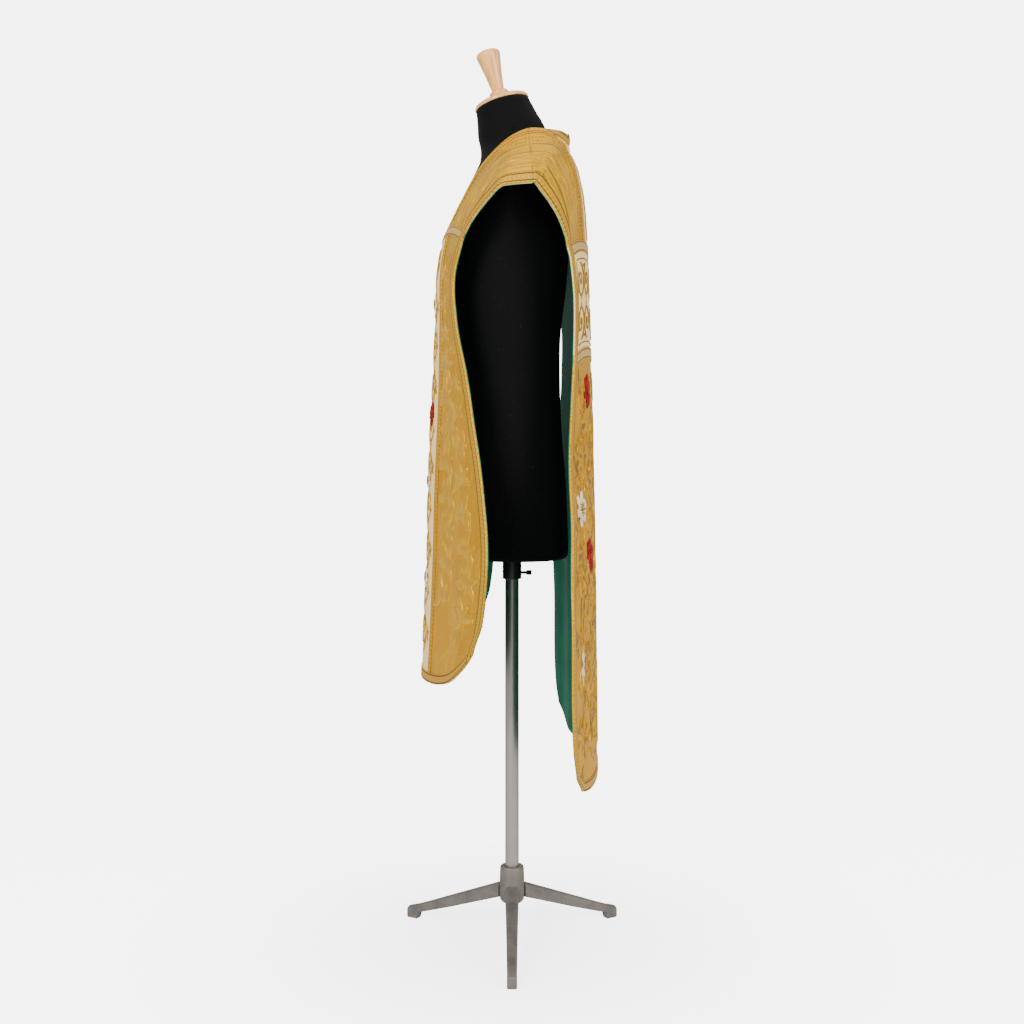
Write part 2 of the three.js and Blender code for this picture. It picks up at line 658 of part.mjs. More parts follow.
const CAP_HEIGHT = 13;
const CAP_R = 47;
const cap = piece(neckCap, 'neck_cap', turned([
  [0, 0], [CAP_R - 1, 0], [CAP_R, 1.5], [CAP_R - 0.5, 5], [CAP_R - 6, 9], [CAP_R - 18, 11.8],
  [18, CAP_HEIGHT], [0, CAP_HEIGHT],
]), BEECH);
cap.position.z = SEAM_GAP;
const bead = piece(neckCap, 'handle_bead', turned([
  [0, 0], [14, 0], [16.5, 2.5], [17, 6], [15, 10], [11, 12], [0, 12],
]), BEECH);
bead.position.z = CAP_HEIGHT + 2 * SEAM_GAP;
const handle = piece(neckCap, 'handle', turned([
  [0, 0], [10.5, 0], [11.5, 6], [14, 25], [17.5, 45], [20, 58], [20.5, 62], [19, 66], [15, 68],
  [0, 68.5],
]), BEECH);
handle.position.z = CAP_HEIGHT + 12 + 3 * SEAM_GAP;

// ---------- Stand ----------
piece(stand, 'pole', turned([
  [0, HUB_BOTTOM + 4], [POLE_R, HUB_BOTTOM + 4], [POLE_R, POLE_TOP - 2], [POLE_R - 2, POLE_TOP],
  [0, POLE_TOP],
], 32), SATIN_STEEL);

const SOCKET_R = POLE_R + SEAM_GAP;
piece(stand, 'hub', turned([
  [0, HUB_BOTTOM], [15, HUB_BOTTOM], [20.5, HUB_BOTTOM + 6], [21.2, HUB_BOTTOM + 20],
  [20.8, HUB_TOP - 14], [20, HUB_TOP - 2], [19, HUB_TOP], [SOCKET_R, HUB_TOP],
  [SOCKET_R, HUB_BOTTOM + 3.7], [0, HUB_BOTTOM + 3.7],
], 32), CAST_METAL);

// Sections of a leg going out from the hub: reach, underside, top and half width.
const LEG = table(['reach', 'under', 'top', 'half'], [
  [22, 68, 93, 11.5],
  [60, 55, 78, 10.5],
  [120, 34, 54, 9.2],
  [172, 17, 33, 8.3],
  [190, 12, 26, 8],
  [191.5, 0, 25.6, 8],
  [210, 0, 20, 8],
  [LEG_REACH, 2, 18, 7],
]);

function legSection({ reach, under, top, half }) {
  const round = 3.5;
  const corners = [[-half, under], [half, under], [half, top - round], [half - round, top],
    [-half + round, top], [-half, top - round]];
  return corners.map(([y, z]) => new THREE.Vector3(reach, y, z));
}

for (let k = 0; k < 3; k += 1) {
  const leg = piece(stand, `leg_${k + 1}`, loft(LEG.map(legSection)), CAST_METAL);
  leg.rotation.z = (k / 3) * 2 * Math.PI;
}

// ---------- Sliding collar and its thumbscrew ----------
const SCREW_R = 2.5;
const SCREW_HOLE_R = 2.8;
const KNOB_REACH = 24;
const collarRing = turned([
  [BORE_R, COLLAR_BOTTOM], [COLLAR_R - 1.5, COLLAR_BOTTOM], [COLLAR_R, COLLAR_BOTTOM + 1.5],
  [COLLAR_R, COLLAR_TOP - 8], [COLLAR_R + 4, COLLAR_TOP - 6], [COLLAR_R + 4, COLLAR_TOP],
  [BORE_R, COLLAR_TOP], [BORE_R, COLLAR_BOTTOM],
], 32);
const drill = new THREE.CylinderGeometry(SCREW_HOLE_R, SCREW_HOLE_R, 2 * BORE_R, 16)
  .translate(0, COLLAR_R + 2, 0)
  .translate(0, 0, SCREW_HEIGHT);
piece(form, 'socket_collar', geometryOf(solid(collarRing).subtract(solid(drill))), BLACK_METAL);

// The screw is turned about +Y: a shank, a collar and a flat wing that is gripped.
const shank = new THREE.CylinderGeometry(SCREW_R, SCREW_R, KNOB_REACH - POLE_R, 16)
  .translate(0, (KNOB_REACH + POLE_R) / 2 + 0.3, 0);
const boss = new THREE.CylinderGeometry(4.2, 4.2, 5, 16).translate(0, KNOB_REACH + 1.5, 0);
const wing = new THREE.BoxGeometry(12, 7, 3.2).translate(0, KNOB_REACH + 6, 0);
wing.rotateY(THREE.MathUtils.degToRad(30));
piece(form, 'thumbscrew', geometryOf(
  solid(shank).add(solid(boss)).add(solid(wing)).translate([0, 0, SCREW_HEIGHT]),
), BLACK_METAL);

const part = new THREE.Group();
part.add(stand, form, chasuble);
export default part;
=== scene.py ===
"""Fiddleback chasuble worn by a limbless dress form on a three-legged stand.

Every length is in metres. The front of the garment faces -Y, the wearer's left is +X, and
the origin is on the floor under the pole. Cloth is modelled flat, on a cutting plane whose
axes are (across, down, height off the cloth), and is then draped on the hanging shape.
"""

import logging
import math
import random
from collections.abc import Callable, Sequence
from dataclasses import dataclass, field
from enum import Enum

import bmesh
import bpy
import numpy as np
from mathutils import Matrix, Vector

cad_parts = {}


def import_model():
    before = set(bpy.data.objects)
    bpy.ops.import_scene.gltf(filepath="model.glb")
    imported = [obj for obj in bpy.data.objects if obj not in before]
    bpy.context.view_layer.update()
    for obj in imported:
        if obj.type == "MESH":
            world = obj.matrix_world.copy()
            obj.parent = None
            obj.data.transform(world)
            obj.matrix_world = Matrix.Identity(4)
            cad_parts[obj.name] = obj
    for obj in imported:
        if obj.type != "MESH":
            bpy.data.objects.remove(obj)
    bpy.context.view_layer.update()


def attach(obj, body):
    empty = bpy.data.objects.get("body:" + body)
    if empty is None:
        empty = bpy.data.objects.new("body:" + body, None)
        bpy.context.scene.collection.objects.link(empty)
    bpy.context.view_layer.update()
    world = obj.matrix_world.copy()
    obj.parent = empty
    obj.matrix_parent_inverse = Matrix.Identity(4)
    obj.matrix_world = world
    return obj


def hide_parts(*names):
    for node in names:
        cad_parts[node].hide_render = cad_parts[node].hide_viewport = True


LOG = logging.getLogger("chasuble")
MM = 0.001

# ---------- Sizes shared by the whole garment ----------
SEAM_GAP = 0.3 * MM
BROCADE = 1.6 * MM
LINING = 1.0 * MM
GALLOON = 1.2 * MM
EDGE_BRAID = 16 * MM
NECK_BRAID = 16 * MM
COLUMN_BRAID = 14 * MM
COLUMN_HALF = 100 * MM
NECK_CORNER_DOWN = 35 * MM
NECK_CORNER_ACROSS = 84 * MM
BACK_NECK_DOWN = 68 * MM
FRONT_BAR = (195 * MM, 210 * MM)
BACK_BAR_UPPER = (280 * MM, 297.5 * MM)
BACK_BAR_LOWER = (449 * MM, 467.5 * MM)

NECK_TOP = (-16.5 * MM, 1414 * MM)
CAP_TILT = math.radians(15.7)


class Side(Enum):
    """The half of the garment that a piece belongs to, with its outward sense along Y."""

    FRONT = -1
    BACK = 1


# Sections down the garment: down, height, drop, stand, depth, bow, neck, edge (millimetres).
SECTION = ("down", "height", "drop", "stand", "depth", "bow", "neck", "edge")
FRONT_SECTIONS = (
    (0, 1324.4, 98.4, 30, 25.4, 8.1, 85, 240),
    (30, 1316.1, 93.1, 26, -0.6, -2.7, 85, 240),
    (60, 1298.4, 81.9, 22, -27.7, 11.1, 83, 237.5),
    (100, 1272.7, 82.5, 16, -56.1, 23.2, 78, 229),
    (150, 1233.3, 75.1, 8, -83, 32.7, 70, 218),
    (195, 1190.9, 54.8, 0, -109.8, 54.4, 62, 208.5),
    (210, 1175.9, 53, 0, -116, 58.3, 0, 203.5),
    (270, 1118, 55, 0, -126, 60.3, 0, 190),
    (348, 1040, 25, 0, -128.5, 66.4, 0, 195),
    (438, 950, 8, 0, -132.5, 79.5, 0, 222),
    (542, 846, 0, 0, -138, 88, 0, 250),
    (638, 750, 0, 0, -141.5, 87.6, 0, 285),
    (729, 659, 0, 0, -142.5, 82.2, 0, 310),
    (818, 570, 0, 0, -146.5, 82.9, 0, 300),
    (868, 520, 0, 0, -148.5, 81, 0, 279),
    (937, 451, 0, 0, -151.5, 80, 0, 279),
)
BACK_SECTIONS = (
    (0, 1324.4, 98.4, 30, 25.4, 8.1, 85, 240),
    (30, 1326.5, 102, 28, 56.6, -24.4, 84.5, 240),
    (45, 1330, 109, 25, 69.5, -36, 70, 240),
    (56, 1329.5, 110, 28, 80, -46, 50, 240),
    (68, 1327.5, 111, 38.5, 93.5, -59.2, 0, 240),
    (100, 1316, 122.8, 20, 97.5, -47.6, 0, 237.5),
    (140, 1293, 127, 6, 109.5, -47.5, 0, 234),
    (200, 1243.4, 112.4, 0, 120, -48.2, 0, 228),
    (280, 1166.5, 43.7, 0, 126.5, -52.8, 0, 224.5),
    (297.5, 1148.5, 44, 0, 127, -49, 0, 220.5),
    (361, 1085, 46, 0, 129, -47.6, 0, 209.5),
    (449, 996.7, 48, 0, 131.7, -54.6, 0, 204.5),
    (467.5, 978.2, 46, 0, 132.2, -56, 0, 205),
    (530, 916, 30, 0, 134, -58.2, 0, 215),
    (600, 846, 16, 0, 135.6, -54.8, 0, 240),
    (680, 766, 6, 0, 137, -48.3, 0, 271),
    (790, 656, 0, 0, 138.5, -40.5, 0, 310),
    (870, 576, 0, 0, 139.3, -36.5, 0, 335),
    (996, 450, 0, 0, 141, -37, 0, 339),
    (1060, 386, 0, 0, 142, -37, 0, 331),
    (1100, 346, 0, 0, 142.5, -37, 0, 311),
    (1146, 300, 0, 0, 142.8, -37, 0, 311),
)
# Soft folds: side, across, from, to, depth, width (millimetres) and lean.
FOLDS = (
    (Side.BACK, -205, 540, 1100, -4.5, 26, -0.04),
    (Side.BACK, -262, 500, 1130, 4.0, 24, -0.06),
    (Side.BACK, -318, 700, 1120, -4.5, 22, 0.02),
    (Side.BACK, -120, 620, 1140, 2.5, 34, 0.03),
    (Side.BACK, 215, 600, 1130, -3.5, 30, 0.05),
    (Side.BACK, 285, 640, 1100, 2.5, 26, -0.03),
    (Side.BACK, 110, 560, 1080, 2.0, 36, 0.02),
    (Side.FRONT, 150, 430, 900, -2.5, 34, 0.10),
    (Side.FRONT, 235, 560, 880, 2.5, 30, -0.05),
    (Side.FRONT, -165, 400, 880, -3.0, 32, -0.09),
    (Side.FRONT, -250, 520, 860, 2.0, 28, 0.06),
)
# Horizontal sections of the form: height, width, centre, depth (millimetres), square, tilt.
TORSO_SECTIONS = (
    (648, 146, 6, 85, 2.3, 0),
    (653, 151, 6, 88.5, 2.3, 0),
    (700, 160, 2, 92, 2.25, 0),
    (780, 157, 0, 90.5, 2.2, 0),
    (860, 147, -3, 87, 2.2, 0),
    (950, 139, -6, 87, 2.2, 0),
    (1020, 146, -8, 90, 2.2, 0),
    (1100, 158, -9, 100, 2.1, 0),
    (1150, 168, -7, 102, 1.9, 0),
    (1190, 180, -4, 100, 1.6, 0),
    (1220, 190, -2, 97, 1.45, 0),
    (1245, 190, 3, 92, 1.4, 0),
    (1265, 180, 7, 87, 1.4, 0),
    (1283, 160, 10, 80, 1.5, 0),
    (1300, 132, 11, 73, 1.5, 0),
    (1320, 95, 10, 64, 1.7, 2),
    (1342, 71, 6, 59, 1.9, 5),
    (1368, 60, -1, 57, 2, 9),
    (1392, 53, -9, 50.5, 2, 13),
    (1414, 48, -16.5, 46.2, 2, 15.7),
)


def smoothstep(value: np.ndarray, low: float, high: float) -> np.ndarray:
    """Return a smooth rise from 0 at low to 1 at high."""
    t = np.clip((value - low) / (high - low), 0.0, 1.0)
    return t * t * (3.0 - 2.0 * t)


def hermite(
    stations: np.ndarray, values: np.ndarray, at: np.ndarray, before: tuple[float, float] | None = None
) -> np.ndarray:
    """Interpolate smoothly between table rows.

    Args:
        stations: Rising positions of the rows.
        values: One column of the table.
        at: Positions asked for.
        before: Position and value that come before the first row, if the table carries on.

    Returns:
        The column's values at those positions.
    """
    slopes = np.empty_like(values)
    slopes[1:-1] = (values[2:] - values[:-2]) / (stations[2:] - stations[:-2])
    from_at, from_value = before or (stations[0], values[0])
    slopes[0] = (values[1] - from_value) / (stations[1] - from_at)
    slopes[-1] = (values[-1] - values[-2]) / (stations[-1] - stations[-2])
    k = np.clip(np.searchsorted(stations, at) - 1, 0, len(stations) - 2)
    span = stations[k + 1] - stations[k]
    t = np.clip((at - stations[k]) / span, 0.0, 1.0)
    t2, t3 = t * t, t * t * t
    return (
        (2 * t3 - 3 * t2 + 1) * values[k]
        + (t3 - 2 * t2 + t) * span * slopes[k]
        + (3 * t2 - 2 * t3) * values[k + 1]
        + (t3 - t2) * span * slopes[k + 1]
    )


@dataclass
class ClothFace:
    """The outer face of one half of the hanging garment.

    Attributes:
        side: Front or back.
        rows: The section table, in millimetres.
        hem: Distance down to the hem at the centre.
        corner: Distance down to the hem's corner at the edge.
        power: How sharply the hem turns up at its corners.
    """

    side: Side
    rows: tuple[tuple[float, ...], ...]
    hem: float
    corner: float
    power: float
    edge_ref: float = 240 * MM
    bow_ref: float = 150 * MM
    stand_reach: float = 30 * MM
    neck_soft: float = 8 * MM
    fold_fade: float = 120 * MM
    corner_blend: float = 150 * MM
    step: float = 1.5 * MM
    other: "ClothFace | None" = None
    columns: dict[str, np.ndarray] = field(init=False)

    def __post_init__(self) -> None:
        """Turn the rows into one array for each column, in metres."""
        table = np.array(self.rows, dtype=float) * MM
        self.columns = {name: table[:, k] for k, name in enumerate(SECTION)}

    def value(self, name: str, down: np.ndarray) -> np.ndarray:
        """Return a section value at distances down the garment.

        Args:
            name: The section value's name.
            down: Distances down.

        Returns:
            The values.
        """
        stations = self.columns["down"]
        if name == "neck":
            return np.interp(down, stations, self.columns[name])
        past = self.other.columns if self.other is not None else self.columns
        before = (-past["down"][1], past[name][1])
        return hermite(stations, self.columns[name], np.asarray(down, dtype=float), before)

    def folds(self, down: np.ndarray, across: np.ndarray) -> np.ndarray:
        """Return how far the soft folds lift the cloth outwards.

        Args:
            down: Distances down.
            across: Distances across.

        Returns:
            The lifts.
        """
        total = np.zeros_like(down)
        for side, middle, begin, end, depth, width, lean in FOLDS:
            if side is not self.side:
                continue
            begin, end = begin * MM, end * MM
            rise = smoothstep(down, begin, begin + self.fold_fade)
            fall = 1.0 - smoothstep(down, end, end + self.fold_fade)
            offset = (across - middle * MM - lean * (down - begin)) / (width * MM)
            total += depth * MM * rise * fall * np.exp(-offset * offset)
        return total

    def creases(self, down: np.ndarray, across: np.ndarray) -> np.ndarray:
        """Return the small outward ripples of stiff, much handled brocade.

        Args:
            down: Distances down.
            across: Distances across.

        Returns:
            The lifts.
        """
        sway = 1.4 * np.sin(7.0 * down + 1.3)
        ripple = np.sin(31.0 * across + sway) * np.sin(9.0 * down + 4.0 * across)
        drag = np.sin(58.0 * (across + 0.35 * down)) * np.sin(17.0 * down + 0.6)
        settled = smoothstep(down, 60 * MM, 320 * MM)
        strap = 1.0 - smoothstep(down, 150 * MM, 260 * MM)
        pull = np.sin(190.0 * np.abs(across) + 5.0 * down + 0.8 * np.sin(21.0 * down))
        creased = 0.5 * MM * (1.0 + ripple) * settled + 0.25 * MM * (1.0 + drag)
        off_seam = smoothstep(down, 0.0, 60 * MM)
        return (creased + 0.35 * MM * (1.0 + pull) * strap) * off_seam

    def face(self, down: np.ndarray, across: np.ndarray) -> np.ndarray:
        """Return points of the outer face as an (n, 3) array.

        Args:
            down: Distances down.
            across: Distances across.

        Returns:
            The points.
        """
        wide = np.abs(across)
        past = np.maximum(wide - self.value("neck", down), 0.0)
        from_neck = np.hypot(past, self.neck_soft) - self.neck_soft
        bowed = self.value("bow", down) * (np.hypot(1.0, wide / self.bow_ref) - 1.0)
        lift = self.folds(down, across) + self.creases(down, across)
        depth = self.value("depth", down) + bowed + self.side.value * lift
        height = (
            self.value("height", down)
            - self.value("drop", down) * (wide / self.edge_ref) ** 3
            + self.value("stand", down) * np.exp(-from_neck / self.stand_reach)
        )
        return np.stack([across, depth, height], axis=1)

    def drape(self, flat: np.ndarray) -> np.ndarray:
        """Lay flat points on the hanging shape.

        Args:
            flat: An (n, 3) array of across, down and height off the cloth.

        Returns:
            An (n, 3) array of places in the frame.
        """
        across, down, lift = flat[:, 0], flat[:, 1], flat[:, 2]
        above = self.face(np.maximum(down - self.step, 0.0), across)
        past_seam = down < self.step
        if self.other is not None and past_seam.any():
            mirrored = self.other.face(self.step - down[past_seam], across[past_seam])
            above[past_seam] = mirrored
        along_down = self.face(down + self.step, across) - above
        along_width = self.face(down, across + self.step) - self.face(down, across - self.step)
        normal = np.cross(along_down, along_width) * -self.side.value
        normal /= np.linalg.norm(normal, axis=1, keepdims=True)
        return self.face(down, across) + normal * lift[:, None]

    def edge(self, down: np.ndarray) -> np.ndarray:
        """Return the half width of the garment at distances down it."""
        return self.value("edge", down)

    def row(self, down: np.ndarray, share: np.ndarray) -> tuple[np.ndarray, np.ndarray]:
        """Return the places of a row that curls up towards the hem's corners.

        Args:
            down: Distance down at the centre line.
            share: Place across, from -1 to 1 of the half width.

        Returns:
            The down and across values of the places.
        """
        inner = self.hem - EDGE_BRAID
        curl = smoothstep(down, self.hem - self.corner_blend, inner) * (self.hem - self.corner)
        return down - curl * np.abs(share) ** self.power, share * self.edge(down - curl)


FRONT = ClothFace(Side.FRONT, FRONT_SECTIONS, 937 * MM, 867 * MM, 4.4)
BACK = ClothFace(Side.BACK, BACK_SECTIONS, 1146 * MM, 1100 * MM, 6.0)
FRONT.other, BACK.other = BACK, FRONT


# ---------- Finishes ----------
@dataclass(frozen=True)
class Finish:
    """A named material finish.

    Attributes:
        name: The material's name.
        slot: The material slot that it belongs to, which is not used.
        color: Main linear colour.
        second: Second linear colour, for a pattern or variation.
        roughness: Main roughness.
        metallic: Share of metal, as of metal thread.
    """

    name: str
    slot: str
    color: tuple[float, float, float]
    second: tuple[float, float, float]
    roughness: float = 0.5
    metallic: float = 0.0


GOLD_BROCADE = Finish(
    "gold_brocade", "gold_brocade", (0.78, 0.385, 0.0015), (0.90, 0.52, 0.006), 0.42, 0.88,
)
GOLD_LEAF = Finish("gold_leaf", "gold_brocade", (0.80, 0.40, 0.002), (0.90, 0.52, 0.006), 0.40, 0.88)
CREAM_SILK = Finish("cream_silk", "cream_silk", (0.95, 0.68, 0.27), (0.86, 0.56, 0.19), 0.7)
GALLOON_GOLD = Finish("galloon", "gold_braid", (0.74, 0.40, 0.012), (0.10, 0.040, 0.002), 0.5, 0.7)
GALLOON_STRAW = Finish("galloon_straw", "gold_braid", (0.90, 0.66, 0.24), (0.20, 0.090, 0.008), 0.55, 0.25)
GREEN_SATIN = Finish("green_satin", "green_satin", (0.003, 0.115, 0.060), (0.004, 0.145, 0.078), 0.6)
EDGE_CORD = Finish("edge_cord", "green_satin", (0.34, 0.33, 0.13), (0.20, 0.26, 0.10), 0.6)
GOLD_THREAD = Finish("gold_thread", "gold_brocade", (0.78, 0.43, 0.008), (0.40, 0.19, 0.005), 0.38, 0.75)
BRONZE_THREAD = Finish("bronze_thread", "gold_brocade", (0.24, 0.120, 0.008), (0.40, 0.21, 0.012), 0.5, 0.5)
ROSE_SILK = Finish("rose_silk", "rose_silk", (0.36, 0.002, 0.002), (0.15, 0.0006, 0.0006), 0.6)
WHITE_SILK = Finish("white_silk", "white_silk", (0.90, 0.78, 0.55), (0.68, 0.50, 0.27), 0.6)
BLACK_JERSEY = Finish("black_jersey", "black_jersey", (0.0014, 0.0014, 0.0017), (0.004, 0.004, 0.005), 0.85)
BEECH = Finish("beech", "beech_wood", (0.88, 0.43, 0.12), (0.70, 0.30, 0.06), 0.38)
SATIN_STEEL = Finish("satin_steel", "satin_steel", (0.38, 0.35, 0.315), (0.30, 0.28, 0.26), 0.33, 0.9)
CAST_METAL = Finish("cast_metal", "cast_metal", (0.165, 0.145, 0.125), (0.12, 0.105, 0.094), 0.52, 0.45)
BLACK_METAL = Finish("black_metal", "black_metal", (0.007, 0.007, 0.008), (0.012, 0.012, 0.012), 0.42, 0.2)
PALE_PAPER = Finish("studio_paper", "studio", (0.83, 0.83, 0.835), (0.83, 0.83, 0.835), 0.9)


class NodeSheet:
    """A short way to add and join shader nodes in one tree."""

    def __init__(self, tree: bpy.types.NodeTree) -> None:
        """Remember the tree that the nodes go into."""
        self.tree = tree

    def add(self, kind: str, **settings: object) -> bpy.types.Node:
        """Add a node and set its properties.

        Args:
            kind: The node's type.
            settings: Properties to set on it.

        Returns:
            The node.
        """
        node = self.tree.nodes.new(kind)
        for name, value in settings.items():
            setattr(node, name, value)
        return node

    def feed(self, socket: bpy.types.NodeSocket, source: object) -> None:
        """Set a socket to a value, or link it from another socket.

        Args:
            socket: The socket to set.
            source: A number, a colour or another socket.
        """
        if isinstance(source, bpy.types.NodeSocket):
            self.tree.links.new(source, socket)
        else:
            socket.default_value = source

    def math(self, operation: str, first: object, second: object = 0.0) -> bpy.types.NodeSocket:
        """Return the result of a Math node.

        Args:
            operation: The operation.
            first: Its first value.
            second: Its second value.

        Returns:
            The result.
        """
        node = self.add("ShaderNodeMath", operation=operation)
        self.feed(node.inputs[0], first)
        self.feed(node.inputs[1], second)
        return node.outputs[0]

    def mix(self, share: object, first: object, second: object) -> bpy.types.NodeSocket:
        """Return a mix of two colours.

        Args:
            share: Share of the second colour.
            first: The first colour.
            second: The second colour.

        Returns:
            The colour.
        """
        node = self.add("ShaderNodeMix", data_type="RGBA")
        self.feed(node.inputs[0], share)
        for socket, source in ((node.inputs[6], first), (node.inputs[7], second)):
            whole = (*source, 1.0) if isinstance(source, tuple) else source
            self.feed(socket, whole)
        return node.outputs[2]

    def ramp(self, value: object, low: float, high: float) -> bpy.types.NodeSocket:
        """Return a smooth 0 to 1 rise of a value between two limits.

        Args:
            value: The value.
            low: Where it is 0.
            high: Where it is 1.

        Returns:
            The rise.
        """
        node = self.add("ShaderNodeMapRange", interpolation_type="SMOOTHSTEP")
        self.feed(node.inputs["Value"], value)
        node.inputs["From Min"].default_value = low
        node.inputs["From Max"].default_value = high
        return node.outputs["Result"]

    def noise(self, vector: object, scale: float, detail: float = 3.0) -> bpy.types.NodeSocket:
        """Return a noise value.

        Args:
            vector: The coordinates.
            scale: Its scale.
            detail: Its detail.

        Returns:
            The value.
        """
        node = self.add("ShaderNodeTexNoise")
        self.feed(node.inputs["Vector"], vector)
        node.inputs["Scale"].default_value = scale
        node.inputs["Detail"].default_value = detail
        return node.outputs["Fac"]

    def stretched(self, vector: object, scale: tuple[float, float, float]) -> bpy.types.NodeSocket:
        """Return a vector scaled along each axis.

        Args:
            vector: The coordinates.
            scale: The scale along each axis.

        Returns:
            The vector.
        """
        node = self.add("ShaderNodeMapping")
        self.feed(node.inputs["Vector"], vector)
        node.inputs["Scale"].default_value = scale
        return node.outputs["Vector"]


class Effects:
    """Shader node groups that several finishes share, each built once."""

    built: dict[str, bpy.types.NodeTree] = {}

    @classmethod
    def group(
        cls,
        name: str,
        inputs: Sequence[tuple[str, str, object]],
        outputs: Sequence[tuple[str, str]],
        fill: Callable[[NodeSheet, bpy.types.Node, bpy.types.Node], None],
    ) -> bpy.types.NodeTree:
        """Return a node group, building it on first use.

        Args:
            name: The group's name.
            inputs: Name, socket type and first value of each input.
            outputs: Name and socket type of each output.
            fill: Adds the group's own nodes between its input and output nodes.

        Returns:
            The node group.
        """
        if name in cls.built:
            return cls.built[name]
        tree = bpy.data.node_groups.new(name, "ShaderNodeTree")
        for label, kind, value in inputs:
            socket = tree.interface.new_socket(label, in_out="INPUT", socket_type=kind)
            if value is not None:
                socket.default_value = value
        for label, kind in outputs:
            tree.interface.new_socket(label, in_out="OUTPUT", socket_type=kind)
        sheet = NodeSheet(tree)
        fill(sheet, sheet.add("NodeGroupInput"), sheet.add("NodeGroupOutput"))
        cls.built[name] = tree
        return tree

    @classmethod
    def weave(cls) -> bpy.types.NodeTree:
        """Return crossing threads, as a height."""

        def fill(sheet: NodeSheet, source: bpy.types.Node, out: bpy.types.Node) -> None:
            """Add the threads of the warp and the weft."""
            warp = sheet.stretched(source.outputs["Vector"], (1.0, 0.12, 1.0))
            weft = sheet.stretched(source.outputs["Vector"], (0.12, 1.0, 1.0))
            lines = sheet.math("ADD", sheet.noise(warp, 900.0, 1.0), sheet.noise(weft, 900.0, 1.0))
            sheet.feed(out.inputs["Height"], sheet.math("MULTIPLY", lines, 0.5))

        return cls.group(
            "weave",
            [("Vector", "NodeSocketVector", None)],
            [("Height", "NodeSocketFloat")],
            fill,
        )

    @classmethod
    def damask(cls) -> bpy.types.NodeTree:
        """Return a woven leaf pattern on an ogee net, as a mask."""

        def fill(sheet: NodeSheet, source: bpy.types.Node, out: bpy.types.Node) -> None:
            """Add the bent net and the leaf inside each mesh of it."""
            vector = source.outputs["Vector"]
            bend = sheet.add("ShaderNodeTexNoise")
            sheet.feed(bend.inputs["Vector"], vector)
            bend.inputs["Scale"].default_value = 17.0
            bend.inputs["Detail"].default_value = 1.0
            shift = sheet.add("ShaderNodeVectorMath", operation="SCALE")
            sheet.feed(shift.inputs[0], bend.outputs["Color"])
            shift.inputs["Scale"].default_value = 0.045
            moved = sheet.add("ShaderNodeVectorMath", operation="ADD")
            sheet.feed(moved.inputs[0], vector)
            sheet.feed(moved.inputs[1], shift.outputs["Vector"])
            parts = sheet.add("ShaderNodeSeparateXYZ")
            sheet.feed(parts.inputs[0], moved.outputs["Vector"])
            rise = sheet.math("MULTIPLY", parts.outputs["X"], 2 * math.pi / 0.105)
            run = sheet.math("MULTIPLY", parts.outputs["Y"], 2 * math.pi / 0.165)
            ogee = sheet.math("MULTIPLY", sheet.math("SINE", rise), sheet.math("SINE", run))
            veins = sheet.math("SINE", sheet.math("MULTIPLY", sheet.math("ADD", rise, run), 3.0))
            leaf = sheet.math("ADD", ogee, sheet.math("MULTIPLY", veins, 0.28))
            body = sheet.ramp(leaf, -0.12, 0.0)
            inner = sheet.ramp(leaf, 0.50, 0.58)
            sheet.feed(out.inputs["Mask"], sheet.math("SUBTRACT", body, inner))

        return cls.group(
            "damask",
            [("Vector", "NodeSocketVector", None)],
            [("Mask", "NodeSocketFloat")],
            fill,
        )

    @classmethod
    def wear(cls) -> bpy.types.NodeTree:
        """Return slow patches of rubbing and fading, as a mask."""

        def fill(sheet: NodeSheet, source: bpy.types.Node, out: bpy.types.Node) -> None:
            """Add the patches."""
            patches = sheet.noise(source.outputs["Vector"], 9.0, 4.0)
            sheet.feed(out.inputs["Mask"], sheet.ramp(patches, 0.38, 0.66))

        return cls.group(
            "wear",
            [("Vector", "NodeSocketVector", None)],
            [("Mask", "NodeSocketFloat")],
            fill,
        )


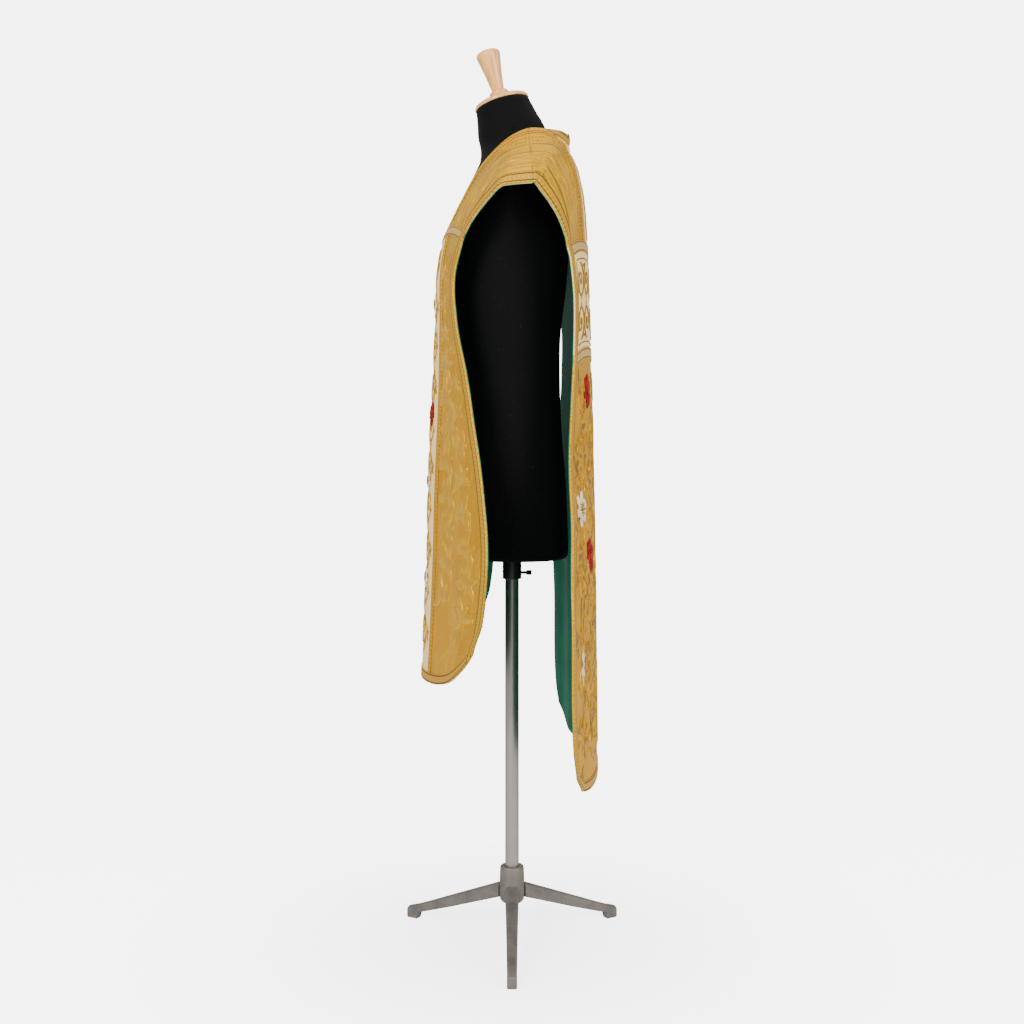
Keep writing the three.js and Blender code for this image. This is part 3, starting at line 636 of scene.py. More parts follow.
class Dye:
    """Makes each finish's material once."""

    made: dict[str, bpy.types.Material] = {}

    @classmethod
    def of(cls, finish: Finish) -> bpy.types.Material:
        """Return the material of a finish, building it on first use.

        Args:
            finish: The finish.

        Returns:
            The material.
        """
        if finish.name in cls.made:
            return cls.made[finish.name]
        material = bpy.data.materials.new(finish.name)
        material.use_nodes = True
        tree = material.node_tree
        sheet = NodeSheet(tree)
        shader = tree.nodes["Principled BSDF"]
        shader.inputs["Base Color"].default_value = (*finish.color, 1.0)
        shader.inputs["Roughness"].default_value = finish.roughness
        shader.inputs["Metallic"].default_value = finish.metallic
        maker = getattr(cls, finish.name, None) or cls.plain
        maker(sheet, shader, finish)
        cls.made[finish.name] = material
        return material

    @staticmethod
    def place(sheet: NodeSheet, flat: bool) -> bpy.types.NodeSocket:
        """Return the piece's cutting-plane UV, or its Object coordinates.

        Args:
            sheet: The tree's node sheet.
            flat: Whether to use the cutting-plane UV.

        Returns:
            The coordinates.
        """
        if flat:
            return sheet.add("ShaderNodeUVMap", uv_map="cut").outputs["UV"]
        return sheet.add("ShaderNodeTexCoord").outputs["Object"]

    @staticmethod
    def use(sheet: NodeSheet, tree: bpy.types.NodeTree, vector: object) -> bpy.types.Node:
        """Place a shared effect and feed it a vector.

        Args:
            sheet: The tree's node sheet.
            tree: The effect.
            vector: The coordinates.

        Returns:
            The group node.
        """
        node = sheet.add("ShaderNodeGroup", node_tree=tree)
        sheet.feed(node.inputs["Vector"], vector)
        return node

    @staticmethod
    def bump(
        sheet: NodeSheet, shader: bpy.types.Node, height: object, strength: float, distance: float
    ) -> None:
        """Feed a height into the shader's normal.

        Args:
            sheet: The tree's node sheet.
            shader: The Principled BSDF.
            height: The height.
            strength: The bump's strength.
            distance: The bump's depth.
        """
        node = sheet.add("ShaderNodeBump")
        node.inputs["Strength"].default_value = strength
        node.inputs["Distance"].default_value = distance
        sheet.feed(node.inputs["Height"], height)
        sheet.feed(shader.inputs["Normal"], node.outputs["Normal"])

    @classmethod
    def gold_brocade(cls, sheet: NodeSheet, shader: bpy.types.Node, finish: Finish) -> None:
        """Dress woven gold silk: faint leaves below; over the shoulders, long painted highlight streaks
        (glints) and dark painted crease shade.

        Args:
            sheet: The tree's node sheet.
            shader: The Principled BSDF.
            finish: The finish.
        """
        place = cls.place(sheet, flat=True)
        leaf = cls.use(sheet, Effects.damask(), place).outputs["Mask"]
        threads = cls.use(sheet, Effects.weave(), place)
        worn = cls.use(sheet, Effects.wear(), place).outputs["Mask"]
        parts = sheet.add("ShaderNodeSeparateXYZ")
        sheet.feed(parts.inputs[0], place)
        strap = sheet.math("SUBTRACT", 1.0, sheet.ramp(parts.outputs["Y"], 0.20, 0.30))
        shine = sheet.math("ADD", 0.18, sheet.math("MULTIPLY", strap, 0.82))
        # Painted highlight: long light streaks over the shoulders that stand in for glints along the strap,
        # brightened in colour, smoother and raised.
        lines = sheet.ramp(sheet.noise(sheet.stretched(place, (1.0, 0.07, 1.0)), 210.0, 3.0), 0.42, 0.62)
        painted_highlight_streak = sheet.math("MULTIPLY", lines, shine)
        speck = sheet.ramp(sheet.noise(place, 620.0, 2.0), 0.44, 0.66)
        shade = sheet.mix(sheet.math("MULTIPLY", leaf, 0.35), finish.color, finish.second)
        rubbed = sheet.mix(sheet.math("MULTIPLY", worn, 0.4), shade, (0.56, 0.275, 0.003))
        # Painted highlight colour, mixed in along the streaks.
        drawn = sheet.mix(sheet.math("MULTIPLY", painted_highlight_streak, 0.6), rubbed, (0.95, 0.60, 0.006))
        # Painted shade: dark lines along the shoulder strap that stand in for the shade in the brocade's
        # creases.
        painted_crease_shade = sheet.ramp(sheet.noise(sheet.stretched(place, (1.0, 0.03, 1.0)), 130.0, 2.0), 0.54, 0.68)
        drawn = sheet.mix(sheet.math("MULTIPLY", sheet.math("MULTIPLY", painted_crease_shade, strap), 0.8), drawn,
                          (0.26, 0.11, 0.002))
        specked = sheet.mix(sheet.math("MULTIPLY", speck, 0.35), drawn, (0.36, 0.17, 0.003))
        sheet.feed(shader.inputs["Base Color"], specked)
        rough = sheet.math("SUBTRACT", 0.50, sheet.math("MULTIPLY", painted_highlight_streak, 0.16))
        sheet.feed(shader.inputs["Roughness"], rough)
        relief = sheet.math("ADD", leaf, sheet.math("MULTIPLY", threads.outputs["Height"], 0.6))
        grain = sheet.math("ADD", relief, sheet.math("MULTIPLY", painted_highlight_streak, 0.8))
        crumple = sheet.math("MULTIPLY", sheet.noise(place, 55.0, 3.0), 1.8)
        cls.bump(sheet, shader, sheet.math("ADD", grain, crumple), 0.8, 0.0018)
        shader.inputs["Anisotropic"].default_value = 0.3
        shader.inputs["Specular IOR Level"].default_value = 0.1

    @classmethod
    def cream_silk(cls, sheet: NodeSheet, shader: bpy.types.Node, finish: Finish) -> None:
        """Dress the ribbed cream ground.

        Args:
            sheet: The tree's node sheet.
            shader: The Principled BSDF.
            finish: The finish.
        """
        place = cls.place(sheet, flat=True)
        threads = cls.use(sheet, Effects.weave(), place)
        worn = cls.use(sheet, Effects.wear(), place).outputs["Mask"]
        sheet.feed(
            shader.inputs["Base Color"],
            sheet.mix(sheet.math("MULTIPLY", worn, 0.5), finish.color, finish.second),
        )
        crumple = sheet.math("MULTIPLY", sheet.noise(place, 48.0, 3.0), 1.5)
        height = sheet.math("ADD", threads.outputs["Height"], crumple)
        cls.bump(sheet, shader, height, 0.5, 0.001)
        shader.inputs["Sheen Weight"].default_value = 0.05
        shader.inputs["Specular IOR Level"].default_value = 0.15

    @classmethod
    def galloon(cls, sheet: NodeSheet, shader: bpy.types.Node, finish: Finish) -> None:
        """Dress the braid: straw gold with two brown lines and small woven lozenges.

        Args:
            sheet: The tree's node sheet.
            shader: The Principled BSDF.
            finish: The finish.
        """
        place = cls.place(sheet, flat=True)
        parts = sheet.add("ShaderNodeSeparateXYZ")
        sheet.feed(parts.inputs[0], place)
        off_middle = sheet.math("ABSOLUTE", sheet.math("SUBTRACT", parts.outputs["X"], 0.5))
        near_line = sheet.math("ABSOLUTE", sheet.math("SUBTRACT", off_middle, 0.36))
        line = sheet.math("SUBTRACT", 1.0, sheet.ramp(near_line, 0.045, 0.085))
        along = sheet.math("MULTIPLY", parts.outputs["Y"], 2 * math.pi / 0.007)
        slant = sheet.math("MULTIPLY", off_middle, 14.0)
        lozenge = sheet.math("SINE", sheet.math("ADD", along, slant))
        woven = sheet.ramp(lozenge, -0.4, 0.5)
        gold = sheet.mix(woven, (0.52, 0.28, 0.015), finish.color)
        sheet.feed(shader.inputs["Base Color"], sheet.mix(line, gold, finish.second))
        between = sheet.math("SUBTRACT", 1.0, line)
        sheet.feed(shader.inputs["Metallic"], sheet.math("MULTIPLY", between, 0.65))
        height = sheet.math("SUBTRACT", woven, sheet.math("MULTIPLY", line, 1.2))
        cls.bump(sheet, shader, height, 0.6, 0.0006)
        shader.inputs["Specular IOR Level"].default_value = 0.1

    @classmethod
    def green_satin(cls, sheet: NodeSheet, shader: bpy.types.Node, finish: Finish) -> None:
        """Dress the satin lining with long floats and faint creases.

        Args:
            sheet: The tree's node sheet.
            shader: The Principled BSDF.
            finish: The finish.
        """
        place = cls.place(sheet, flat=True)
        floats = sheet.noise(sheet.stretched(place, (1.0, 0.05, 1.0)), 700.0, 2.0)
        slow = sheet.noise(place, 14.0, 3.0)
        sheet.feed(
            shader.inputs["Base Color"],
            sheet.mix(sheet.ramp(slow, 0.35, 0.65), finish.color, finish.second),
        )
        creased = sheet.noise(sheet.stretched(place, (1.0, 0.35, 1.0)), 40.0, 4.0)
        fine = sheet.math("MULTIPLY", floats, 0.3)
        height = sheet.math("ADD", fine, sheet.math("MULTIPLY", creased, 2.0))
        cls.bump(sheet, shader, height, 0.4, 0.001)
        shader.inputs["Specular IOR Level"].default_value = 0.1

    @classmethod
    def thread(cls, sheet: NodeSheet, shader: bpy.types.Node, finish: Finish) -> None:
        """Dress raised embroidery with the lay of its stitches.

        Args:
            sheet: The tree's node sheet.
            shader: The Principled BSDF.
            finish: The finish.
        """
        place = cls.place(sheet, flat=True)
        lay = sheet.math("SINE", sheet.noise(sheet.stretched(place, (1.0, 0.5, 1.0)), 420.0, 1.0))
        shade = sheet.noise(place, 60.0, 2.0)
        sheet.feed(
            shader.inputs["Base Color"],
            sheet.mix(sheet.ramp(shade, 0.35, 0.65), finish.color, finish.second),
        )
        shader.inputs["Specular IOR Level"].default_value = 0.15
        cls.bump(sheet, shader, lay, 0.5, 0.0006)

    @classmethod
    def black_jersey(cls, sheet: NodeSheet, shader: bpy.types.Node, finish: Finish) -> None:
        """Dress the form's knitted cover with a fine rib and lint.

        Args:
            sheet: The tree's node sheet.
            shader: The Principled BSDF.
            finish: The finish.
        """
        place = cls.place(sheet, flat=False)
        rib = sheet.noise(sheet.stretched(place, (1.0, 1.0, 0.15)), 900.0, 1.0)
        lint = sheet.ramp(sheet.noise(place, 260.0, 2.0), 0.70, 0.80)
        sheet.feed(shader.inputs["Base Color"], sheet.mix(lint, finish.color, (0.02, 0.02, 0.022)))
        cls.bump(sheet, shader, rib, 0.35, 0.0006)
        shader.inputs["Sheen Weight"].default_value = 0.015
        shader.inputs["Specular IOR Level"].default_value = 0.10

    @classmethod
    def beech(cls, sheet: NodeSheet, shader: bpy.types.Node, finish: Finish) -> None:
        """Dress turned beech with grain, flecks and a thin lacquer.

        Args:
            sheet: The tree's node sheet.
            shader: The Principled BSDF.
            finish: The finish.
        """
        place = cls.place(sheet, flat=False)
        grain = sheet.noise(sheet.stretched(place, (1.0, 1.0, 0.14)), 170.0, 4.0)
        fleck = sheet.noise(sheet.stretched(place, (1.0, 1.0, 0.3)), 1100.0, 1.0)
        base = sheet.mix(sheet.ramp(grain, 0.40, 0.66), finish.color, finish.second)
        share = sheet.math("MULTIPLY", sheet.ramp(fleck, 0.60, 0.72), 0.45)
        marked = sheet.mix(share, base, (0.45, 0.24, 0.10))
        sheet.feed(shader.inputs["Base Color"], marked)
        shader.inputs["Coat Weight"].default_value = 0.35
        shader.inputs["Coat Roughness"].default_value = 0.2
        cls.bump(sheet, shader, grain, 0.12, 0.0004)

    @classmethod
    def satin_steel(cls, sheet: NodeSheet, shader: bpy.types.Node, finish: Finish) -> None:
        """Dress the drawn tube with lengthwise polish lines.

        Args:
            sheet: The tree's node sheet.
            shader: The Principled BSDF.
            finish: The finish.
        """
        place = cls.place(sheet, flat=False)
        lines = sheet.noise(sheet.stretched(place, (1.0, 1.0, 0.02)), 900.0, 2.0)
        sheet.feed(shader.inputs["Roughness"], sheet.math("ADD", 0.24, sheet.math("MULTIPLY", lines, 0.2)))
        sheet.feed(
            shader.inputs["Base Color"],
            sheet.mix(sheet.noise(place, 22.0, 3.0), finish.color, finish.second),
        )
        cls.bump(sheet, shader, lines, 0.08, 0.0003)

    @classmethod
    def studio_paper(cls, sheet: NodeSheet, shader: bpy.types.Node, finish: Finish) -> None:
        """Light the studio's floor from below, as seen by the camera, with a painted shadow pool under the
        stand.

        Args:
            sheet: The tree's node sheet.
            shader: The Principled BSDF.
            finish: The finish.
        """
        seen = sheet.add("ShaderNodeLightPath").outputs["Is Camera Ray"]
        reach = sheet.add("ShaderNodeVectorMath", operation="LENGTH")
        sheet.feed(reach.inputs[0], sheet.add("ShaderNodeTexCoord").outputs["Object"])
        # Painted shadow: the glow is weaker near the stand's foot, a soft pool of shade on the floor.
        shaded = sheet.math("MULTIPLY", sheet.ramp(reach.outputs["Value"], 0.0, 0.75), 1.8)
        shader.inputs["Emission Color"].default_value = (1.0, 1.0, 1.0, 1.0)
        glow = sheet.math("ADD", 3.4, shaded)
        sheet.feed(shader.inputs["Emission Strength"], sheet.math("MULTIPLY", seen, glow))

    @classmethod
    def plain(cls, sheet: NodeSheet, shader: bpy.types.Node, finish: Finish) -> None:
        """Dress a cast or enamelled surface with fine orange peel and faint rubbing.

        Args:
            sheet: The tree's node sheet.
            shader: The Principled BSDF.
            finish: The finish.
        """
        place = cls.place(sheet, flat=False)
        peel = sheet.noise(place, 420.0, 2.0)
        worn = cls.use(sheet, Effects.wear(), sheet.stretched(place, (4.0, 4.0, 4.0)))
        sheet.feed(
            shader.inputs["Base Color"],
            sheet.mix(worn.outputs["Mask"], finish.color, finish.second),
        )
        rough = sheet.math("ADD", finish.roughness - 0.06, sheet.math("MULTIPLY", peel, 0.12))
        sheet.feed(shader.inputs["Roughness"], rough)
        cls.bump(sheet, shader, peel, 0.25, 0.0003)


for _name in ("gold_leaf", "gold_thread", "bronze_thread", "rose_silk", "white_silk", "edge_cord"):
    setattr(Dye, _name, Dye.thread)
Dye.galloon_straw = Dye.galloon


# ---------- Shared makers ----------
def finish_mesh(name: str, bm: bmesh.types.BMesh, finish: Finish, smooth: bool = True) -> bpy.types.Object:
    """Turn a bmesh into a dressed object at the origin.

    Args:
        name: The piece's name.
        bm: The mesh in work, which is freed.
        finish: The piece's finish.
        smooth: Whether its faces are shaded smooth.

    Returns:
        The new object.
    """
    mesh = bpy.data.meshes.new(name)
    for face in bm.faces:
        face.smooth = smooth
    bm.to_mesh(mesh)
    bm.free()
    mesh.materials.append(Dye.of(finish))
    obj = bpy.data.objects.new(name, mesh)
    bpy.context.scene.collection.objects.link(obj)
    return obj


def register(obj: bpy.types.Object, finish: Finish, body: str, nodes: Sequence[str] = ()) -> None:
    """Attach a piece to the body that it rides on and hide the solids that it stands for.

    Args:
        obj: The piece.
        finish: The finish, which is not used.
        body: The body that it rides on.
        nodes: The solids that it stands for.
    """
    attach(obj, body)
    if nodes:
        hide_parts(*nodes)
    LOG.info("%s: %d faces", obj.name, len(obj.data.polygons))


def unit_grid(
    bm: bmesh.types.BMesh, columns: int, rows: int
) -> list[tuple[bmesh.types.BMVert, float, float]]:
    """Add a grid and return its vertices with their places from 0 to 1 along both ways."""
    made = bmesh.ops.create_grid(bm, x_segments=columns, y_segments=rows, size=0.5)
    return [(vert, vert.co.x + 0.5, vert.co.y + 0.5) for vert in made["verts"]]


def tube(bm: bmesh.types.BMesh, rings: int, around: int, place: Callable[[float, float], Vector]) -> None:
    """Add a closed-round skin.

    Args:
        bm: The mesh in work.
        rings: Segments along the skin.
        around: Segments round it.
        place: Gives the point at a share along and an angle round the skin.
    """
    for vert, u, v in unit_grid(bm, rings, around):
        vert.co = place(u, 2 * math.pi * (v % 1.0))


def turned(bm: bmesh.types.BMesh, profile: Sequence[tuple[float, float]], steps: int = 64) -> None:
    """Spin a profile of radius and height about Z into a closed turning.

    Args:
        bm: The mesh to add to.
        profile: Radius and height of each point, from the bottom up.
        steps: Number of facets round it.
    """
    verts = [bm.verts.new((radius, 0.0, height)) for radius, height in profile]
    lines = [bm.edges.new(pair) for pair in zip(verts, verts[1:])]
    bmesh.ops.spin(
        bm, geom=[*verts, *lines], cent=(0, 0, 0), axis=(0, 0, 1),
        angle=2 * math.pi, steps=steps, use_merge=True,
    )
    bmesh.ops.remove_doubles(bm, verts=bm.verts, dist=1e-6)
    bmesh.ops.recalc_face_normals(bm, faces=bm.faces)


def rounded(obj: bpy.types.Object, width: float, segments: int = 3) -> None:
    """Round a hard piece's edges with a live bevel.

    Args:
        obj: The piece.
        width: Width of the bevel.
        segments: Number of facets across it.
    """
    bevel = obj.modifiers.new("round", "BEVEL")
    bevel.width = width
    bevel.segments = segments
    bevel.limit_method = "ANGLE"
    bevel.angle_limit = math.radians(32)
    bevel.harden_normals = True


@dataclass
class Patch:
    """A piece of cloth cut from one half of the garment.

    Attributes:
        name: The piece's name.
        cloth: The half that it lies on.
        place: Gives across and down for shares along two ways, as arrays.
        columns: Segments along the first way.
        rows: Segments along the second way.
        finish: The piece's finish.
        wall: Thickness of the cloth.
        lift: Height of its outer face off the garment's outer face.
        strip: Whether its pattern follows the strip and not the cut.
    """

    name: str
    cloth: ClothFace
    place: Callable[[np.ndarray, np.ndarray], tuple[np.ndarray, np.ndarray]]
    columns: int
    rows: int
    finish: Finish
    wall: float
    lift: float = 0.0
    strip: bool = False

    def build(self) -> bpy.types.Object:
        """Cut the piece flat, drape it and give it its thickness.

        Returns:
            The draped piece.
        """
        bm = bmesh.new()
        shares = np.array([(u, v) for _, u, v in unit_grid(bm, self.columns, self.rows)])
        obj = finish_mesh(self.name, bm, self.finish)
        mesh = obj.data
        across, down = self.place(shares[:, 0], shares[:, 1])
        flat = np.stack([across, down, np.full_like(across, self.lift)], axis=1)
        draped = self.cloth.drape(flat)
        mesh.vertices.foreach_set("co", draped.astype(np.float32).ravel())
        chart = self.strip_chart(shares, draped) if self.strip else flat[:, :2]
        write_chart(mesh, chart)
        if faces_inwards(mesh, self.cloth.side):
            mesh.flip_normals()
        mesh.update()
        wall = obj.modifiers.new("wall", "SOLIDIFY")
        wall.thickness = self.wall
        wall.offset = -1.0
        wall.use_even_offset = False
        return obj

    def strip_chart(self, shares: np.ndarray, draped: np.ndarray) -> np.ndarray:
        """Return a chart with the share across a strip and the length along it.

        Args:
            shares: Share across at each vertex.
            draped: Place of each vertex.

        Returns:
            The chart.
        """
        order = np.lexsort((shares[:, 1], np.round(shares[:, 0], 6)))
        middle = order[np.isclose(shares[order, 0], shares[order, 0].min())]
        steps = np.linalg.norm(np.diff(draped[middle], axis=0), axis=1)
        length = np.concatenate([[0.0], np.cumsum(steps)])
        along = np.interp(shares[:, 1], shares[middle, 1], length)
        return np.stack([shares[:, 0], along], axis=1)


def write_chart(mesh: bpy.types.Mesh, chart: np.ndarray) -> None:
    """Store a place on the cutting plane at each corner of the mesh.

    Args:
        mesh: The mesh.
        chart: Across and down of each vertex.
    """
    corners = np.empty(len(mesh.loops), dtype=np.int32)
    mesh.loops.foreach_get("vertex_index", corners)
    layer = mesh.uv_layers.new(name="cut")
    layer.data.foreach_set("uv", chart[corners].astype(np.float32).ravel())


def faces_inwards(mesh: bpy.types.Mesh, side: Side) -> bool:
    """Return whether most of a mesh faces away from the side's outer face.

    Args:
        mesh: The mesh.
        side: Front or back.

    Returns:
        Whether it faces inwards.
    """
    mesh.update()
    turned_out = sum(face.normal.y * face.area for face in mesh.polygons) * side.value
    lifted = sum(face.normal.z * face.area for face in mesh.polygons)
    return turned_out + lifted < 0.0


def surface_area(obj: bpy.types.Object) -> float:
    """Return the area of a piece's single face, before its wall."""
    return sum(face.area for face in obj.data.polygons)


# ---------- The garment's cut ----------
class Cut:
    """Where each piece's borders run on the cutting plane."""

    @staticmethod
    def column_half(down: np.ndarray) -> np.ndarray:
        """Return the half width of the back column."""
        share = smoothstep(down, NECK_CORNER_DOWN, 160 * MM)
        return NECK_CORNER_ACROSS + (COLUMN_HALF - NECK_CORNER_ACROSS) * share

    @classmethod
    def shoulder_from(cls, cloth: ClothFace, down: np.ndarray) -> np.ndarray:
        """Return where a shoulder piece begins across the garment.

        Args:
            cloth: Front or back.
            down: Distances down.

        Returns:
            The places across.
        """
        if cloth.side is Side.FRONT:
            return cloth.value("neck", down)
        neck = float(cloth.value("neck", np.array([0.0]))[0])
        blend = np.clip(down / NECK_CORNER_DOWN, 0.0, 1.0)
        upper = neck + (NECK_CORNER_ACROSS - neck) * blend
        return np.where(down < NECK_CORNER_DOWN, upper, cls.column_half(down))

    @staticmethod
    def back_neck(across: np.ndarray) -> np.ndarray:
        """Return the distance down of the back neckline."""
        drop = BACK_NECK_DOWN - NECK_CORNER_DOWN
        return BACK_NECK_DOWN - drop * (across / NECK_CORNER_ACROSS) ** 2

    @classmethod
    def shoulder(cls, cloth: ClothFace, sign: int, begin: float, end: float, part: str) -> Callable:
        """Return the places of a shoulder piece or one of its border strips.

        Args:
            cloth: Front or back.
            sign: 1 for the wearer's left and -1 for the right.
            begin: Distance down where it begins.
            end: Distance down where it ends.
            part: "panel", "inner" border or "outer" border.

        Returns:
            A function from shares to across and down.
        """

        def place(u: np.ndarray, v: np.ndarray) -> tuple[np.ndarray, np.ndarray]:
            """Return the places across and down of shares across and along."""
            down = begin + (end - begin) * v
            inner, outer = cls.shoulder_from(cloth, down), cloth.edge(down)
            if part == "inner":
                outer = inner + NECK_BRAID
            if part == "outer":
                inner = outer - EDGE_BRAID
            return sign * (inner + (outer - inner) * u), down

        return place

    @classmethod
    def back_column(cls, to_braid: bool) -> Callable:
        """Return the places of the back column, or of the neck braid along its top.

        Args:
            to_braid: Whether it is the neck braid.

        Returns:
            A function from shares to across and down.
        """
        first = NECK_CORNER_DOWN + NECK_BRAID
        end = first if to_braid else BACK_BAR_UPPER[0]

        def place(u: np.ndarray, v: np.ndarray) -> tuple[np.ndarray, np.ndarray]:
            """Return the places across and down of shares across and along."""
            share = 2 * u - 1
            side_down = NECK_CORNER_DOWN + (end - NECK_CORNER_DOWN) * v
            top = cls.back_neck(share * NECK_CORNER_ACROSS)
            upper = top + np.minimum(side_down - NECK_CORNER_DOWN, NECK_BRAID)
            fall = np.clip((side_down - first) / (BACK_BAR_UPPER[0] - first), 0.0, 1.0)
            return share * cls.column_half(side_down), upper + (BACK_BAR_UPPER[0] - upper) * fall

        return place

    @staticmethod
    def hanging(cloth: ClothFace, begin: float, end: float, inner: float | None, sign: int) -> Callable:
        """Return the places of a hanging panel.

        Args:
            cloth: Front or back.
            begin: Distance down of its top.
            end: Distance down of its bottom at the centre.
            inner: Where it begins across, or None for the whole width.
            sign: 1 for the wearer's left and -1 for the right.

        Returns:
            A function from shares to across and down.
        """

        def place(u: np.ndarray, v: np.ndarray) -> tuple[np.ndarray, np.ndarray]:
            """Return the places across and down of shares across and along."""
            down = begin + (end - begin) * v
            _, wide = cloth.row(down, np.ones_like(down))
            share = 2 * u - 1 if inner is None else (inner + (wide - inner) * u) / wide
            curled, across = cloth.row(down, share)
            return sign * across, curled

        return place

    @staticmethod
    def centre(cloth: ClothFace, begin: float, end: float, half: float) -> Callable:
        """Return the places of a straight strip down the centre line.

        Args:
            cloth: Front or back.
            begin: Distance down of its top.
            end: Distance down of its foot.
            half: Its half width.

        Returns:
            A function from shares to across and down.
        """

        def place(u: np.ndarray, v: np.ndarray) -> tuple[np.ndarray, np.ndarray]:
            """Return the places across and down of shares across and along."""
            down = begin + (end - begin) * v
            _, wide = cloth.row(down, np.ones_like(down))
            curled, across = cloth.row(down, (2 * u - 1) * half / wide)
            return across, curled

        return place

    @staticmethod
    def border(cloth: ClothFace, begin: float, end: float, sign: int, off: float, width: float) -> Callable:
        """Return the places of a strip that runs down beside the edge or a column.

        Args:
            cloth: Front or back.
            begin: Distance down of its top.
            end: Distance down of its bottom.
            sign: 1 for the wearer's left and -1 for the right.
            off: Its inner line across, or its distance in from the edge if negative.
            width: Its width.

        Returns:
            A function from shares to across and down.
        """

        def place(u: np.ndarray, v: np.ndarray) -> tuple[np.ndarray, np.ndarray]:
            """Return the places across and down of shares across and along."""
            down = begin + (end - begin) * v
            _, wide = cloth.row(down, np.ones_like(down))
            inner = off if off >= 0 else wide + off
            curled, across = cloth.row(down, (inner + width * u) / wide)
            return sign * across, curled

        return place

    @staticmethod
    def bar(cloth: ClothFace, begin: float, end: float) -> Callable:
        """Return the places of a strip across the garment, between the edge braids.

        Args:
            cloth: Front or back.
            begin: Distance down of its top.
            end: Distance down of its foot.

        Returns:
            A function from shares to across and down.
        """

        def place(u: np.ndarray, v: np.ndarray) -> tuple[np.ndarray, np.ndarray]:
            """Return the places across and down of shares across and along."""
            down = begin + (end - begin) * u
            _, wide = cloth.row(down, np.ones_like(down))
            curled, across = cloth.row(down, (2 * v - 1) * (wide - EDGE_BRAID) / wide)
            return across, curled

        return place


